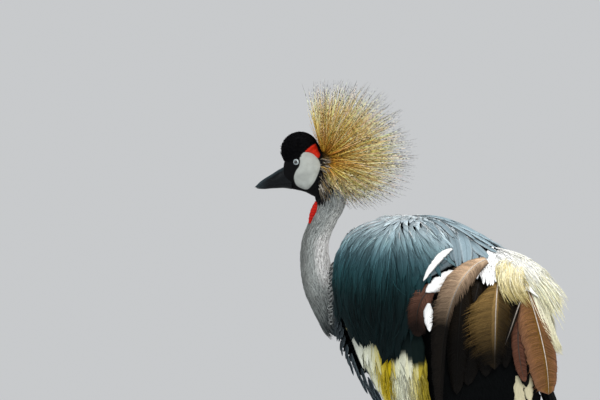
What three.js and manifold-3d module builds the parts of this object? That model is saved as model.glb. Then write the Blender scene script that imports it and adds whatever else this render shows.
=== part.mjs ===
// Grey crowned crane, a still life-size model of a standing bird.
// It stands on both feet with its neck drawn back in an S and its head turned a little to its left.
// Units are millimetres and +Z is up. The bird faces -X, and -Y is its left side.
// The origin is on the floor, under the middle of the whole bird.

import * as THREE from "three";
import { mergeVertices } from "three/addons/utils/BufferGeometryUtils.js";
import Module from "manifold-3d";

const wasm = await Module();
wasm.setup();

// Sizes that everything else follows. Heights are above the floor.
const GAP = 0.35;
const HEAD_TURN = THREE.MathUtils.degToRad(22);
const HEAD_CENTRE = new THREE.Vector3(-212, -22, 767);
const SIDES = { left: -1, right: 1 };

// Small tools for curves, lofts and solids.

// A smooth curve through rows of [station, value], read at any station between the first and the last.
function curveThrough(rows) {
  const slope = (i) => {
    const a = rows[Math.max(i - 1, 0)];
    const b = rows[Math.min(i + 1, rows.length - 1)];
    return (b[1] - a[1]) / (b[0] - a[0]);
  };
  return (at) => {
    const station = THREE.MathUtils.clamp(at, rows[0][0], rows[rows.length - 1][0]);
    let i = 0;
    while (i < rows.length - 2 && station > rows[i + 1][0]) i += 1;
    const span = rows[i + 1][0] - rows[i][0];
    const t = (station - rows[i][0]) / span;
    const t2 = t * t;
    const t3 = t2 * t;
    return (
      rows[i][1] * (2 * t3 - 3 * t2 + 1) +
      slope(i) * span * (t3 - 2 * t2 + t) +
      rows[i + 1][1] * (3 * t2 - 2 * t3) +
      slope(i + 1) * span * (t3 - t2)
    );
  };
}

const mix = (a, b, t) => a + (b - a) * t;

// A closed solid from triangles, turned so that its faces point outwards.
function solidOf(points, triangles) {
  let volume = 0;
  for (const [a, b, c] of triangles) {
    volume += points[a].dot(new THREE.Vector3().crossVectors(points[b], points[c]));
  }
  const facing = volume < 0 ? triangles.map(([a, b, c]) => [a, c, b]) : triangles;
  const geometry = new THREE.BufferGeometry().setFromPoints(points).setIndex(facing.flat());
  return solidFromGeometry(geometry);
}

// A closed three.js geometry as a solid that can be joined and cut.
function solidFromGeometry(geometry) {
  const plain = geometry.clone();
  plain.deleteAttribute("normal");
  plain.deleteAttribute("uv");
  const merged = mergeVertices(plain, 1e-3);
  return new wasm.Manifold(
    new wasm.Mesh({
      numProp: 3,
      vertProperties: new Float32Array(merged.attributes.position.array),
      triVerts: new Uint32Array(merged.index.array),
    }),
  );
}

// Rings of points joined in a row, each end closed by a point of its own.
// A folded loft is a thin vane: the second half of each ring is its under side, split like the upper side.
function loft(rings, startPoint, endPoint, folded = false) {
  const count = rings[0].length;
  const points = [...rings.flat(), startPoint, endPoint];
  const start = points.length - 2;
  const end = points.length - 1;
  const last = (rings.length - 1) * count;
  const triangles = [];
  for (let j = 0; j < count; j += 1) {
    const k = (j + 1) % count;
    const under = folded && j >= count / 2;
    triangles.push([start, k, j], [end, last + j, last + k]);
    for (let row = 0; row < last; row += count) {
      const [a, b, c, d] = [row + j, row + k, row + count + k, row + count + j];
      triangles.push(...(under ? [[a, b, d], [b, c, d]] : [[a, b, c], [a, c, d]]));
    }
  }
  return solidOf(points, triangles);
}

// One ring round a centre: half is its half width along side, and up and down its two half heights along rise.
function ring(centre, side, rise, half, up, down, count, power = 2) {
  const points = [];
  for (let j = 0; j < count; j += 1) {
    const angle = (2 * Math.PI * j) / count;
    const c = Math.cos(angle);
    const s = Math.sin(angle);
    const across = Math.sign(c) * Math.abs(c) ** (2 / power) * half;
    const along = Math.sign(s) * Math.abs(s) ** (2 / power) * (s > 0 ? up : down);
    points.push(centre.clone().addScaledVector(side, across).addScaledVector(rise, along));
  }
  return points;
}

const joined = (solids) => wasm.Manifold.union(solids);

// The largest closed piece of a solid, so that no loose scrap is left by a cut.
function largestPiece(solid) {
  return solid.decompose().reduce((a, b) => (b.volume() > a.volume() ? b : a));
}

// A named mesh of one solid.
function meshOf(name, solid, material) {
  const whole = largestPiece(solid);
  const { numProp, vertProperties, triVerts } = whole.getMesh();
  const positions = new Float32Array((vertProperties.length / numProp) * 3);
  for (let i = 0; i < positions.length / 3; i += 1) {
    positions.set(vertProperties.subarray(i * numProp, i * numProp + 3), i * 3);
  }
  const geometry = new THREE.BufferGeometry();
  geometry.setAttribute("position", new THREE.BufferAttribute(positions, 3));
  geometry.setIndex(new THREE.BufferAttribute(new Uint32Array(triVerts), 1));
  geometry.computeVertexNormals();
  const mesh = new THREE.Mesh(geometry, material);
  mesh.name = name;
  return mesh;
}

const finish = (color, roughness, metalness = 0) => new THREE.MeshStandardMaterial({ color, roughness, metalness });
const MATERIALS = {
  slate: finish(0x5f7480, 0.8),
  neckGrey: finish(0xb4b3ae, 0.85),
  black: finish(0x14161a, 0.75),
  velvet: finish(0x08080a, 0.95),
  white: finish(0xeceae0, 0.8),
  straw: finish(0xe6d79a, 0.8),
  chestnut: finish(0x6b4630, 0.75),
  crestGold: finish(0xcfa04c, 0.7),
  redSkin: finish(0xc8200f, 0.5),
  bill: finish(0x15181c, 0.4),
  iris: finish(0xb8c4cc, 0.1),
  legSkin: finish(0x1c1d20, 0.6),
};

// Torso: an egg that leans down to the rump, with its breast to the front.

const TORSO = [
  { x: -160, top: 612, bottom: 492, half: 34 },
  { x: -145, top: 635, bottom: 462, half: 54 },
  { x: -120, top: 656, bottom: 430, half: 74 },
  { x: -80, top: 669, bottom: 404, half: 90 },
  { x: -30, top: 672, bottom: 390, half: 98 },
  { x: 20, top: 668, bottom: 392, half: 96 },
  { x: 70, top: 650, bottom: 408, half: 85 },
  { x: 115, top: 624, bottom: 438, half: 66 },
  { x: 148, top: 602, bottom: 470, half: 45 },
  { x: 168, top: 586, bottom: 500, half: 26 },
];
const TORSO_FRONT = new THREE.Vector3(-168, 0, 550);
const TORSO_BACK = new THREE.Vector3(178, 0, 546);
const TORSO_RINGS = 13;
const TORSO_SIDES = 16;
const TORSO_FULLNESS = 2.3;

function torsoSolid(grow) {
  const first = TORSO[0].x;
  const last = TORSO[TORSO.length - 1].x;
  const read = (name) => curveThrough(TORSO.map((station) => [station.x, station[name]]));
  const [top, bottom, half] = [read("top"), read("bottom"), read("half")];
  const rings = [];
  for (let i = 0; i < TORSO_RINGS; i += 1) {
    const x = mix(first, last, i / (TORSO_RINGS - 1));
    const middle = (top(x) + bottom(x)) / 2;
    const rise = (top(x) - bottom(x)) / 2 + grow;
    const centre = new THREE.Vector3(x, 0, middle);
    const side = new THREE.Vector3(0, 1, 0);
    const up = new THREE.Vector3(0, 0, 1);
    rings.push(ring(centre, side, up, half(x) + grow, rise, rise, TORSO_SIDES, TORSO_FULLNESS));
  }
  const ahead = new THREE.Vector3(-grow, 0, 0);
  return loft(rings, TORSO_FRONT.clone().add(ahead), TORSO_BACK.clone().sub(ahead));
}

// Neck: an oval tube along an S, from deep in the breast to the back of the skull, in two lengths.

const NECK = [
  { at: [-102, 0, 512], depth: 48 },
  { at: [-149, 0, 516], depth: 43 },
  { at: [-171, 0, 536], depth: 39 },
  { at: [-193, -2, 570], depth: 32 },
  { at: [-201, -4, 608], depth: 27.5 },
  { at: [-199, -5, 639], depth: 25 },
  { at: [-190, -5, 665], depth: 23.5 },
  { at: [-179, -5, 690], depth: 24.5 },
  { at: [-173, -6, 712], depth: 28 },
  { at: [-177, -9, 736], depth: 29 },
  { at: [-189, -13, 759], depth: 26 },
];
const NECK_LINE = new THREE.CatmullRomCurve3(
  NECK.map(({ at }) => new THREE.Vector3(...at)),
  false,
  "catmullrom",
  0.5,
);
const NECK_DEPTH = curveThrough(NECK.map(({ depth }, i) => [i / (NECK.length - 1), depth]));
const NECK_WIDTH_SHARE = 0.84;
const NECK_PART = 0.45;
const NECK_SIDES = 14;

function neckRing(t, shift, grow) {
  const tangent = NECK_LINE.getTangent(t);
  const turn = HEAD_TURN * THREE.MathUtils.smoothstep(t, 0.5, 1);
  const across = new THREE.Vector3(-Math.sin(turn), Math.cos(turn), 0);
  const side = across.addScaledVector(tangent, -across.dot(tangent)).normalize();
  const rise = new THREE.Vector3().crossVectors(side, tangent);
  const centre = NECK_LINE.getPoint(t).addScaledVector(tangent, shift);
  const depth = NECK_DEPTH(t) + grow;
  return ring(centre, side, rise, depth * NECK_WIDTH_SHARE, depth, depth, NECK_SIDES);
}

const stationsBetween = (from, to, count) => Array.from({ length: count }, (_, i) => mix(from, to, i / (count - 1)));
const LOWER_NECK = stationsBetween(0, NECK_PART, 10);
const UPPER_NECK = stationsBetween(NECK_PART, 1, 11);

function neckSolid(stations, grow = 0) {
  const last = stations.length - 1;
  const rings = stations.map((t, i) => {
    const shift = i === 0 && t > 0 ? GAP / 2 : i === last && t < 1 ? -GAP / 2 : 0;
    return neckRing(t, shift, grow);
  });
  const middle = (points) => points.reduce((sum, p) => sum.add(p), new THREE.Vector3()).divideScalar(points.length);
  return loft(rings, middle(rings[0]), middle(rings[last]));
}

// Head: a skull with a round velvet cushion on the forehead, bare cheeks, and lids round each eye.
// In the head's own frame a is forward, b is up and c is to the bird's left, from the middle of the skull.

const HEAD_FORWARD = new THREE.Vector3(-Math.cos(HEAD_TURN), -Math.sin(HEAD_TURN), 0);
const HEAD_UP = new THREE.Vector3(0, 0, 1);
const HEAD_LEFT = new THREE.Vector3().crossVectors(HEAD_UP, HEAD_FORWARD);

const headPoint = (a, b, c) =>
  HEAD_CENTRE.clone()
    .addScaledVector(HEAD_FORWARD, a)
    .addScaledVector(HEAD_UP, b)
    .addScaledVector(HEAD_LEFT, c);

const SKULL = [
  { a: -57, top: -8, bottom: -46, half: 11 },
  { a: -50, top: 8, bottom: -56, half: 20 },
  { a: -40, top: 22, bottom: -60, half: 24.5 },
  { a: -28, top: 31, bottom: -60, half: 27 },
  { a: -14, top: 35, bottom: -54, half: 27.5 },
  { a: 0, top: 36, bottom: -47, half: 26 },
  { a: 12, top: 34, bottom: -44, half: 23 },
  { a: 22, top: 29, bottom: -42, half: 18 },
  { a: 30, top: 18, bottom: -40, half: 13.5 },
  { a: 35, top: 2, bottom: -36, half: 10 },
];
const SKULL_BACK = { a: -61, b: -28 };
const SKULL_FRONT = { a: 38, b: -18 };
const SKULL_RINGS = 12;
const SKULL_SIDES = 16;
const CUSHION = { a: 8, b: 24.5, long: 32.5, high: 31, wide: 23.5 };

function ellipsoid(centre, long, high, wide, longSides, highSides) {
  const ball = new THREE.SphereGeometry(1, longSides, highSides);
  const place = new THREE.Matrix4().makeBasis(
    HEAD_FORWARD.clone().multiplyScalar(long),
    HEAD_UP.clone().multiplyScalar(high),
    HEAD_LEFT.clone().multiplyScalar(-wide),
  );
  place.setPosition(headPoint(centre.a, centre.b, centre.c ?? 0));
  return solidFromGeometry(ball.applyMatrix4(place));
}

function skullSolid(grow) {
  const read = (name) => curveThrough(SKULL.map((station) => [station.a, station[name]]));
  const [top, bottom, half] = [read("top"), read("bottom"), read("half")];
  const rings = [];
  for (let i = 0; i < SKULL_RINGS; i += 1) {
    const a = mix(SKULL[0].a, SKULL[SKULL.length - 1].a, i / (SKULL_RINGS - 1));
    const rise = (top(a) - bottom(a)) / 2 + grow;
    const centre = headPoint(a, (top(a) + bottom(a)) / 2, 0);
    rings.push(ring(centre, HEAD_LEFT, HEAD_UP, half(a) + grow, rise, rise, SKULL_SIDES));
  }
  return loft(
    rings,
    headPoint(SKULL_BACK.a - grow, SKULL_BACK.b, 0),
    headPoint(SKULL_FRONT.a + grow, SKULL_FRONT.b, 0),
  );
}

function headMass(grow) {
  const { long, high, wide } = CUSHION;
  return joined([skullSolid(grow), ellipsoid(CUSHION, long + grow, high + grow, wide + grow, 16, 12)]);
}

// Bare white cheek and the red lobe above it: thin raised pads that follow the side of the skull.

const CHEEK = { a: -2.5, b: -9, long: 12.5, high: 20.5, lean: 0.24, proud: 1.6 };
const RED_LOBE = { a: -13, b: 19, long: 8.5, high: 6, lean: -0.9, proud: 2.6 };

function padSolid(pad, side) {
  const ball = new THREE.SphereGeometry(1, 10, 6);
  const long = HEAD_FORWARD.clone().addScaledVector(HEAD_UP, -pad.lean).normalize();
  const high = HEAD_UP.clone().addScaledVector(HEAD_FORWARD, pad.lean).normalize();
  const outwards = HEAD_LEFT.clone().multiplyScalar(side);
  const share = 1 - (pad.b + 9) ** 2 / 55 ** 2;
  const surface = 26.5 * Math.sqrt(Math.max(share, 0.1));
  const depth = 7;
  const place = new THREE.Matrix4().makeBasis(
    long.multiplyScalar(pad.long),
    high.multiplyScalar(pad.high),
    outwards.clone().multiplyScalar(depth),
  );
  place.setPosition(headPoint(pad.a, pad.b, side * (surface + pad.proud - depth)));
  const geometry = ball.applyMatrix4(place);
  if (place.determinant() < 0) geometry.setIndex(Array.from(geometry.index.array).reverse());
  return solidFromGeometry(geometry);
}

const EYE = { a: 13.4, b: 5, radius: 6.6, lookAhead: 0.32 };
const LID = { radius: 6.4, thickness: 1.5, sink: 0.4 };
const EYE_OUT = 16.6;

function eyeCentre(side) {
  return headPoint(EYE.a, EYE.b, side * EYE_OUT);
}

function eyeSolid(side, grow, around, over) {
  const ball = new THREE.SphereGeometry(EYE.radius + grow, around, over);
  ball.translate(...eyeCentre(side).toArray());
  return solidFromGeometry(ball);
}

function lidSolid(side) {
  const rim = new THREE.TorusGeometry(LID.radius, LID.thickness, 6, 14);
  const gaze = HEAD_LEFT.clone().multiplyScalar(side).addScaledVector(HEAD_FORWARD, EYE.lookAhead).normalize();
  rim.applyQuaternion(new THREE.Quaternion().setFromUnitVectors(new THREE.Vector3(0, 0, 1), gaze));
  rim.translate(...eyeCentre(side).addScaledVector(gaze, EYE.radius * LID.sink).toArray());
  return solidFromGeometry(rim);
}

// Bill: upper and lower halves that meet at the line of the mouth, with a slit nostril on each side.

const BILL = [
  { a: 24, top: 4, mouth: -31.5, bottom: -41, half: 12.5 },
  { a: 34, top: -3.5, mouth: -32.5, bottom: -39.6, half: 10.8 },
  { a: 45, top: -9.8, mouth: -33.6, bottom: -39.8, half: 8.6 },
  { a: 56, top: -17, mouth: -35, bottom: -40.3, half: 6.6 },
  { a: 66, top: -23, mouth: -36.4, bottom: -41.2, half: 4.8 },
  { a: 75, top: -29.6, mouth: -37.6, bottom: -40.9, half: 3 },
  { a: 80, top: -34.6, mouth: -38.2, bottom: -40, half: 1.6 },
];
const BILL_TIP = { a: 83.6, upper: -38.2, lowerBack: 1.4 };
const BILL_RINGS = 9;
const BILL_SIDES = 7;
const MOUTH_GAP = 0.4;

function billHalf(isUpper, grow) {
  const read = (name) => curveThrough(BILL.map((station) => [station.a, station[name]]));
  const [top, mouth, bottom, half] = [read("top"), read("mouth"), read("bottom"), read("half")];
  const rings = [];
  for (let i = 0; i < BILL_RINGS; i += 1) {
    const a = mix(BILL[0].a, BILL[BILL.length - 1].a - (isUpper ? 0 : BILL_TIP.lowerBack), i / (BILL_RINGS - 1));
    const edge = mouth(a) + (isUpper ? 1 : -1) * (MOUTH_GAP / 2 - grow);
    const rise = isUpper ? top(a) + grow - edge : bottom(a) - grow - edge;
    const points = [];
    for (let j = 0; j < BILL_SIDES; j += 1) {
      const angle = (Math.PI * j) / (BILL_SIDES - 1);
      points.push(headPoint(a, edge + rise * Math.sin(angle), (half(a) + grow) * Math.cos(angle)));
    }
    rings.push(points);
  }
  const base = headPoint(BILL[0].a, mouth(BILL[0].a) + (isUpper ? 6 : -4), 0);
  const tip = isUpper
    ? headPoint(BILL_TIP.a + grow, BILL_TIP.upper, 0)
    : headPoint(BILL_TIP.a - 2 + grow, BILL_TIP.upper - 1.2, 0);
  return loft(rings, base, tip);
}

const NOSTRIL = { a: 50, b: -20, long: 6, high: 1.7, deep: 2.2, slope: 0.5 };

function nostrilSolid(side) {
  const slit = new THREE.SphereGeometry(1, 8, 5);
  const long = HEAD_FORWARD.clone().addScaledVector(HEAD_UP, -NOSTRIL.slope).normalize();
  const high = HEAD_UP.clone().addScaledVector(HEAD_FORWARD, NOSTRIL.slope).normalize();
  const place = new THREE.Matrix4().makeBasis(
    long.multiplyScalar(NOSTRIL.long),
    high.multiplyScalar(NOSTRIL.high),
    HEAD_LEFT.clone().multiplyScalar(-NOSTRIL.deep),
  );
  const surface = 7.6;
  place.setPosition(headPoint(NOSTRIL.a, NOSTRIL.b, side * surface));
  return solidFromGeometry(slit.applyMatrix4(place));
}

// Red throat wattle: a small soft lobe that lies down the front of the throat.

const WATTLE = [
  { a: -19, b: -52, radius: 6 },
  { a: -15, b: -62, radius: 7.2 },
  { a: -11, b: -74, radius: 7 },
  { a: -6.5, b: -86, radius: 5.4 },
  { a: -3, b: -95, radius: 3 },
];

function wattleSolid() {
  const rings = WATTLE.map(({ a, b, radius }) => {
    const centre = headPoint(a, b, 0);
    const rise = HEAD_FORWARD.clone().addScaledVector(HEAD_UP, 0.35).normalize();
    return ring(centre, HEAD_LEFT, rise, radius * 0.85, radius, radius, 10);
  });
  return loft(rings, headPoint(-20, -48, 0), headPoint(-2, -98, 0));
}

// Crest: a pad on the back of the skull that carries a burst of stiff bristles.

const CREST_PAD = { a: -30, b: -14, long: 36, high: 50, wide: 31, frontEdge: -24, lowEdge: -44 };
const CREST_ROOT = { a: -32, b: 10 };
const CREST_FAN = { low: -66, high: 101, lean: THREE.MathUtils.degToRad(56) };
const CREST_BRISTLE = { count: 104, from: 21, bow: 4, radius: [1.4, 1.1] };
const CREST_REACH = curveThrough([
  [-67, 84],
  [-47, 108],
  [-27, 134],
  [-9, 144],
  [5, 144],
  [28, 139],
  [59, 130],
  [86, 116],
  [103, 110],
]);

// The pad covers the back of the skull only, behind its front edge and above its low edge.
function crestPad() {
  const { long, high, wide, frontEdge, lowEdge } = CREST_PAD;
  const back = HEAD_FORWARD.clone().negate();
  return ellipsoid(CREST_PAD, long, high, wide, 12, 8)
    .trimByPlane(back.toArray(), back.dot(headPoint(frontEdge, 0, 0)))
    .trimByPlane(HEAD_UP.toArray(), HEAD_UP.dot(headPoint(0, lowEdge, 0)));
}

// One bristle: three-sided, bent a little, and tapered from its root in the pad to its tip.
function bristle(direction, reach, bow) {
  const from = headPoint(CREST_ROOT.a, CREST_ROOT.b, 0);
  const at = (length, bend) => from.clone().addScaledVector(direction, length).addScaledVector(bow, bend);
  const stations = [at(CREST_BRISTLE.from, 0), at(reach * 0.55, CREST_BRISTLE.bow), at(reach, 0)];
  const side = new THREE.Vector3().crossVectors(direction, bow).normalize();
  const rings = CREST_BRISTLE.radius.map((radius, i) => ring(stations[i], side, bow, radius, radius, radius, 3));
  return { stations, solid: loft(rings, at(CREST_BRISTLE.from - 2, 0), stations[2]) };
}

// Bristles are spread evenly over the fan by a golden-angle walk, each with a small difference of its own.
function crestSolid(isClear) {
  const noise = seededNoise(41);
  const golden = (Math.sqrt(5) - 1) / 2;
  const bristles = [];
  for (let i = 0; i < CREST_BRISTLE.count; i += 1) {
    const rise = mix(CREST_FAN.low, CREST_FAN.high, (i * golden) % 1) + 3 * noise();
    const lean = Math.asin(mix(-1, 1, (i + 0.5) / CREST_BRISTLE.count) * Math.sin(CREST_FAN.lean)) + 0.05 * noise();
    const angle = THREE.MathUtils.degToRad(rise);
    const direction = HEAD_FORWARD.clone()
      .multiplyScalar(-Math.cos(angle) * Math.cos(lean))
      .addScaledVector(HEAD_UP, Math.sin(angle) * Math.cos(lean))
      .addScaledVector(HEAD_LEFT, Math.sin(lean));
    const bow = new THREE.Vector3(noise(), noise(), noise() - 0.4);
    bow.addScaledVector(direction, -bow.dot(direction)).normalize();
    const reach = CREST_REACH(rise) * (1 - 0.16 * (lean / CREST_FAN.lean) ** 2) * (0.93 + 0.07 * noise());
    const { stations, solid } = bristle(direction, reach, bow);
    if (isClear(stations)) bristles.push(solid);
  }
  return joined([crestPad(), ...bristles]);
}

// Wings: each folded wing lies on a sheet that falls from the ridge of the back over the flank.
// A place on the sheet is x along the body, q from 0 at the ridge to 1 at the lowest hem, and d outwards.

const RIDGE = curveThrough([
  [-150, 646],
  [-129, 665],
  [-106, 676],
  [-71, 680],
  [-18, 681.5],
  [18, 678],
  [53, 665],
  [88, 646],
  [115, 632],
  [159, 612],
  [186, 597],
  [209, 578],
  [245, 538],
]);
const HEM = curveThrough([
  [-150, 452],
  [-120, 398],
  [-80, 362],
  [-30, 342],
  [30, 334],
  [90, 342],
  [150, 362],
  [200, 384],
  [245, 410],
]);
const SPREAD = curveThrough([
  [-150, 64],
  [-120, 90],
  [-80, 108],
  [-30, 117],
  [20, 117],
  [70, 109],
  [115, 96],
  [150, 82],
  [190, 66],
  [245, 44],
]);
const DRAPE_OUT = curveThrough([
  [0, 0],
  [0.08, 0.42],
  [0.2, 0.76],
  [0.35, 0.95],
  [0.5, 1],
  [0.7, 0.97],
  [0.85, 0.91],
  [1, 0.82],
]);
const DRAPE_DOWN = curveThrough([
  [0, 0],
  [0.08, 0.03],
  [0.2, 0.11],
  [0.35, 0.26],
  [0.5, 0.43],
  [0.7, 0.65],
  [0.85, 0.82],
  [1, 1],
]);

// The hind end of the right wing is drawn further forward than that of the left one.
const RIGHT_LEAD = { from: 120, to: 240, by: 44 };

function onSheet(side, along, q) {
  const lead = side > 0 ? RIGHT_LEAD.by * THREE.MathUtils.smoothstep(along, RIGHT_LEAD.from, RIGHT_LEAD.to) : 0;
  const x = along - lead;
  const y = side * (GAP / 2 + SPREAD(x) * DRAPE_OUT(q));
  return new THREE.Vector3(x, y, mix(RIDGE(x), HEM(x), DRAPE_DOWN(q)));
}

function sheetFrame(side, x, q) {
  const step = 0.01;
  const alongX = onSheet(side, x + 1, q).sub(onSheet(side, x - 1, q)).divideScalar(2);
  const low = Math.max(q - step, 0);
  const high = Math.min(q + step, 1);
  const alongQ = onSheet(side, x, high).sub(onSheet(side, x, low)).divideScalar(high - low);
  const out = new THREE.Vector3().crossVectors(alongX, alongQ).normalize();
  if (out.y * side < 0 || (q < 0.02 && out.z < 0)) out.negate();
  if (q < 0.02) out.setY(0).normalize();
  return { alongX, alongQ, out };
}

function sheetPoint(side, x, q, d) {
  return onSheet(side, x, q).addScaledVector(sheetFrame(side, x, q).out, d);
}

// A slab of the sheet: rows run from the top edge to the bottom one, each with its own q, outer and inner depth.
function slab(side, from, to, count, rows) {
  const skin = (depth) => {
    const grid = [];
    for (let i = 0; i < count; i += 1) {
      const x = mix(from, to, i / (count - 1));
      grid.push(rows.map((row) => sheetPoint(side, x, row.q(x), row[depth])));
    }
    return grid;
  };
  const outer = skin("outer");
  const inner = skin("inner");
  const points = [...outer.flat(), ...inner.flat()];
  const n = rows.length;
  const half = count * n;
  const triangles = [];
  const quad = (a, b, c, d) => triangles.push([a, b, c], [a, c, d]);
  for (let i = 0; i < count - 1; i += 1) {
    for (let j = 0; j < n - 1; j += 1) {
      const a = i * n + j;
      quad(a, a + 1, a + n + 1, a + n);
      quad(half + a, half + a + n, half + a + n + 1, half + a + 1);
    }
    const top = i * n;
    const bottom = top + n - 1;
    quad(top, top + n, half + top + n, half + top);
    quad(bottom, half + bottom, half + bottom + n, bottom + n);
  }
  for (let j = 0; j < n - 1; j += 1) {
    const back = (count - 1) * n + j;
    quad(j, half + j, half + j + 1, j + 1);
    quad(back, back + 1, half + back + 1, half + back);
  }
  return solidOf(points, triangles);
}

// A wing's sheet as a surface for vanes: u is x, v is q, and a step of one in u or v is scaled to a small move.
const wingSurface = (side) => ({
  at: (u, v, d) => sheetPoint(side, u, THREE.MathUtils.clamp(v, 0.004, 1.1), d),
  step: [1, 0.01],
});

// How full a vane is along its shaft: it opens from the quill, is widest in the middle and rounds off at the tip.
const vaneShare = (t, point) => Math.min(1, 0.45 + 1.6 * t) * (1 - Math.max(0, (t - 0.45) / 0.55) ** 2) ** point;

// A feather laid over a surface. Its shaft bends from root to tip, each given as [u, v]. The root dips to sunk,
// inside the node's core, and the rest lies at depth, one edge raised by tilt and the other lowered by it.
function vaneOn(surface, { root, bend, tip, wide, depth, sunk, tilt = 0.6, thick = 1.4, rings = 3, point = 0.6 }) {
  const shaft = new THREE.QuadraticBezierCurve(
    new THREE.Vector2(...root),
    new THREE.Vector2(...bend),
    new THREE.Vector2(...tip),
  );
  const [stepU, stepV] = surface.step;
  const sections = [];
  for (let i = 0; i < rings; i += 1) {
    const t = mix(0.14, 0.88, i / (rings - 1));
    const { x: u, y: v } = shaft.getPoint(t);
    const run = shaft.getTangent(t);
    const alongU = surface.at(u + stepU, v, 0).sub(surface.at(u - stepU, v, 0)).divideScalar(2 * stepU);
    const alongV = surface.at(u, v + stepV, 0).sub(surface.at(u, v - stepV, 0)).divideScalar(2 * stepV);
    const forward = alongU.clone().multiplyScalar(run.x).addScaledVector(alongV, run.y).normalize();
    const across = new THREE.Vector3().crossVectors(alongU, alongV).cross(forward).normalize();
    const [uu, uv, vv] = [alongU.dot(alongU), alongU.dot(alongV), alongV.dot(alongV)];
    const [cu, cv] = [across.dot(alongU), across.dot(alongV)];
    const spare = uu * vv - uv * uv;
    const half = (wide / 2) * vaneShare(t, point);
    const du = (half * (cu * vv - cv * uv)) / spare;
    const dv = (half * (cv * uu - cu * uv)) / spare;
    sections.push([
      surface.at(u + du, v + dv, depth + tilt),
      surface.at(u, v, depth + thick / 2),
      surface.at(u - du, v - dv, depth - tilt),
      surface.at(u, v, depth - thick / 2),
    ]);
  }
  return loft(sections, surface.at(...root, sunk), surface.at(...tip, depth), true);
}

// Numbers between -1 and 1 that are the same each time, for the small differences between feathers.
function seededNoise(seed) {
  let state = seed;
  return () => {
    state = (state * 1664525 + 1013904223) % 4294967296;
    return (state / 4294967296) * 2 - 1;
  };
}

// A row of feathers side by side: each follows from its place in the row, from 0 at the front to 1 at the back.
function vaneRow(surface, count, seed, vaneAt) {
  const noise = seededNoise(seed);
  return Array.from({ length: count }, (_, i) => vaneOn(surface, vaneAt(i / (count - 1), noise, i)));
}

const row = (q, outer, inner) => ({ q: typeof q === "number" ? () => q : q, outer, inner });

const MANTLE_HEM = curveThrough([
  [-150, 0.66],
  [-100, 0.68],
  [-40, 0.7],
  [0, 0.66],
  [25, 0.5],
  [60, 0.33],
  [100, 0.24],
  [128, 0.16],
]);

function mantleSolid(side) {
  const front = slab(side, -150, 11, 8, [
    row(0, 6.8, -22),
    row(0.06, 6.8, -22),
    row(0.14, 6.8, -22),
    row(0.25, 6.8, -22),
    row(0.4, 6.8, -22),
  ]);
  const rear = slab(side, 6, 128, 6, [
    row(0, 4, -22),
    row(0.05, 4, -22),
    row(0.1, 4, -22),
  ]);
  const surface = wingSurface(side);
  const hem = vaneRow(surface, 8, 3, (share, noise, i) => {
    const x = mix(-140, 6, share);
    const reach = MANTLE_HEM(x + 12) + 0.03 * noise();
    return {
      root: [x - 2, 0.34],
      bend: [x + 4, mix(0.34, reach, 0.5)],
      tip: [x + 18, reach],
      wide: 28,
      depth: 4.4 + (i % 2) * 1.6,
      sunk: 0,
    };
  });
  const middle = vaneRow(surface, 5, 5, (share, noise) => {
    const x = mix(-138, -8, share);
    return {
      root: [x, 0.16],
      bend: [x + 6, 0.34],
      tip: [x + 20, 0.5 + 0.03 * noise()],
      wide: 36,
      depth: 9,
      sunk: 3,
    };
  });
  const shoulder = vaneRow(surface, 5, 9, (share, noise, i) => {
    const x = mix(14, 100, share);
    const reach = MANTLE_HEM(x + 22) + 0.02 * noise();
    return {
      root: [x - 16, 0.07],
      bend: [x + 2, mix(0.07, reach, 0.45)],
      tip: [x + 34, reach],
      wide: 33,
      depth: mix(8.6, 5.6, share) + (i % 2) * 1.2,
      sunk: 1,
    };
  });
  return joined([front, rear, ...hem, ...middle, ...shoulder]);
}

function covertSolid(side) {
  const core = slab(side, -142, 11, 7, [
    row(0.424, -3.4, -28),
    row(0.52, -3.4, -26),
    row(0.66, -3.4, -14),
  ]);
  const surface = wingSurface(side);
  const upper = vaneRow(surface, 6, 11, (share, noise) => {
    const x = mix(-134, -4, share);
    return {
      root: [x, 0.5],
      bend: [x + 3, 0.66],
      tip: [x + 9, 0.83 + 0.02 * noise()],
      wide: 31,
      depth: -1.2,
      sunk: -5,
    };
  });
  const lower = vaneRow(surface, 6, 13, (share, noise, i) => {
    const x = mix(-130, 2, share);
    return {
      root: [x, 0.6],
      bend: [x + 2, 0.8],
      tip: [x + 8, 1 + 0.02 * noise()],
      wide: 31,
      depth: -5.4 - (i % 2) * 1.6,
      sunk: -8,
    };
  });
  return joined([core, ...upper, ...lower]);
}

function tertialSolid(side) {
  const core = slab(side, 15, 176, 7, [
    row(0.15, -3.6, -22),
    row(0.22, -3.6, -22),
    row(0.3, -3.6, -18),
    row(0.38, -3.6, -13),
    row(0.46, -3.6, -10),
  ]);
  const surface = wingSurface(side);
  const inner = vaneRow(surface, 5, 17, (share) => {
    const x = mix(30, 178, share);
    return {
      root: [x - 8, 0.36],
      bend: [x + 10, 0.52],
      tip: [x + mix(6, 42, share), mix(0.88, 0.84, share)],
      wide: 40,
      depth: -6,
      sunk: -7,
      rings: 4,
    };
  });
  const outer = vaneRow(surface, 4, 19, (share) => {
    const x = mix(22, 150, share);
    return {
      root: [x - 4, 0.2],
      bend: [x + 24, 0.3],
      tip: [x + mix(26, 58, share), mix(0.6, 0.66, share)],
      wide: 34,
      depth: -1.6,
      sunk: -5,
      rings: 4,
    };
  });
  return joined([core, ...inner, ...outer]);
}

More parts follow.
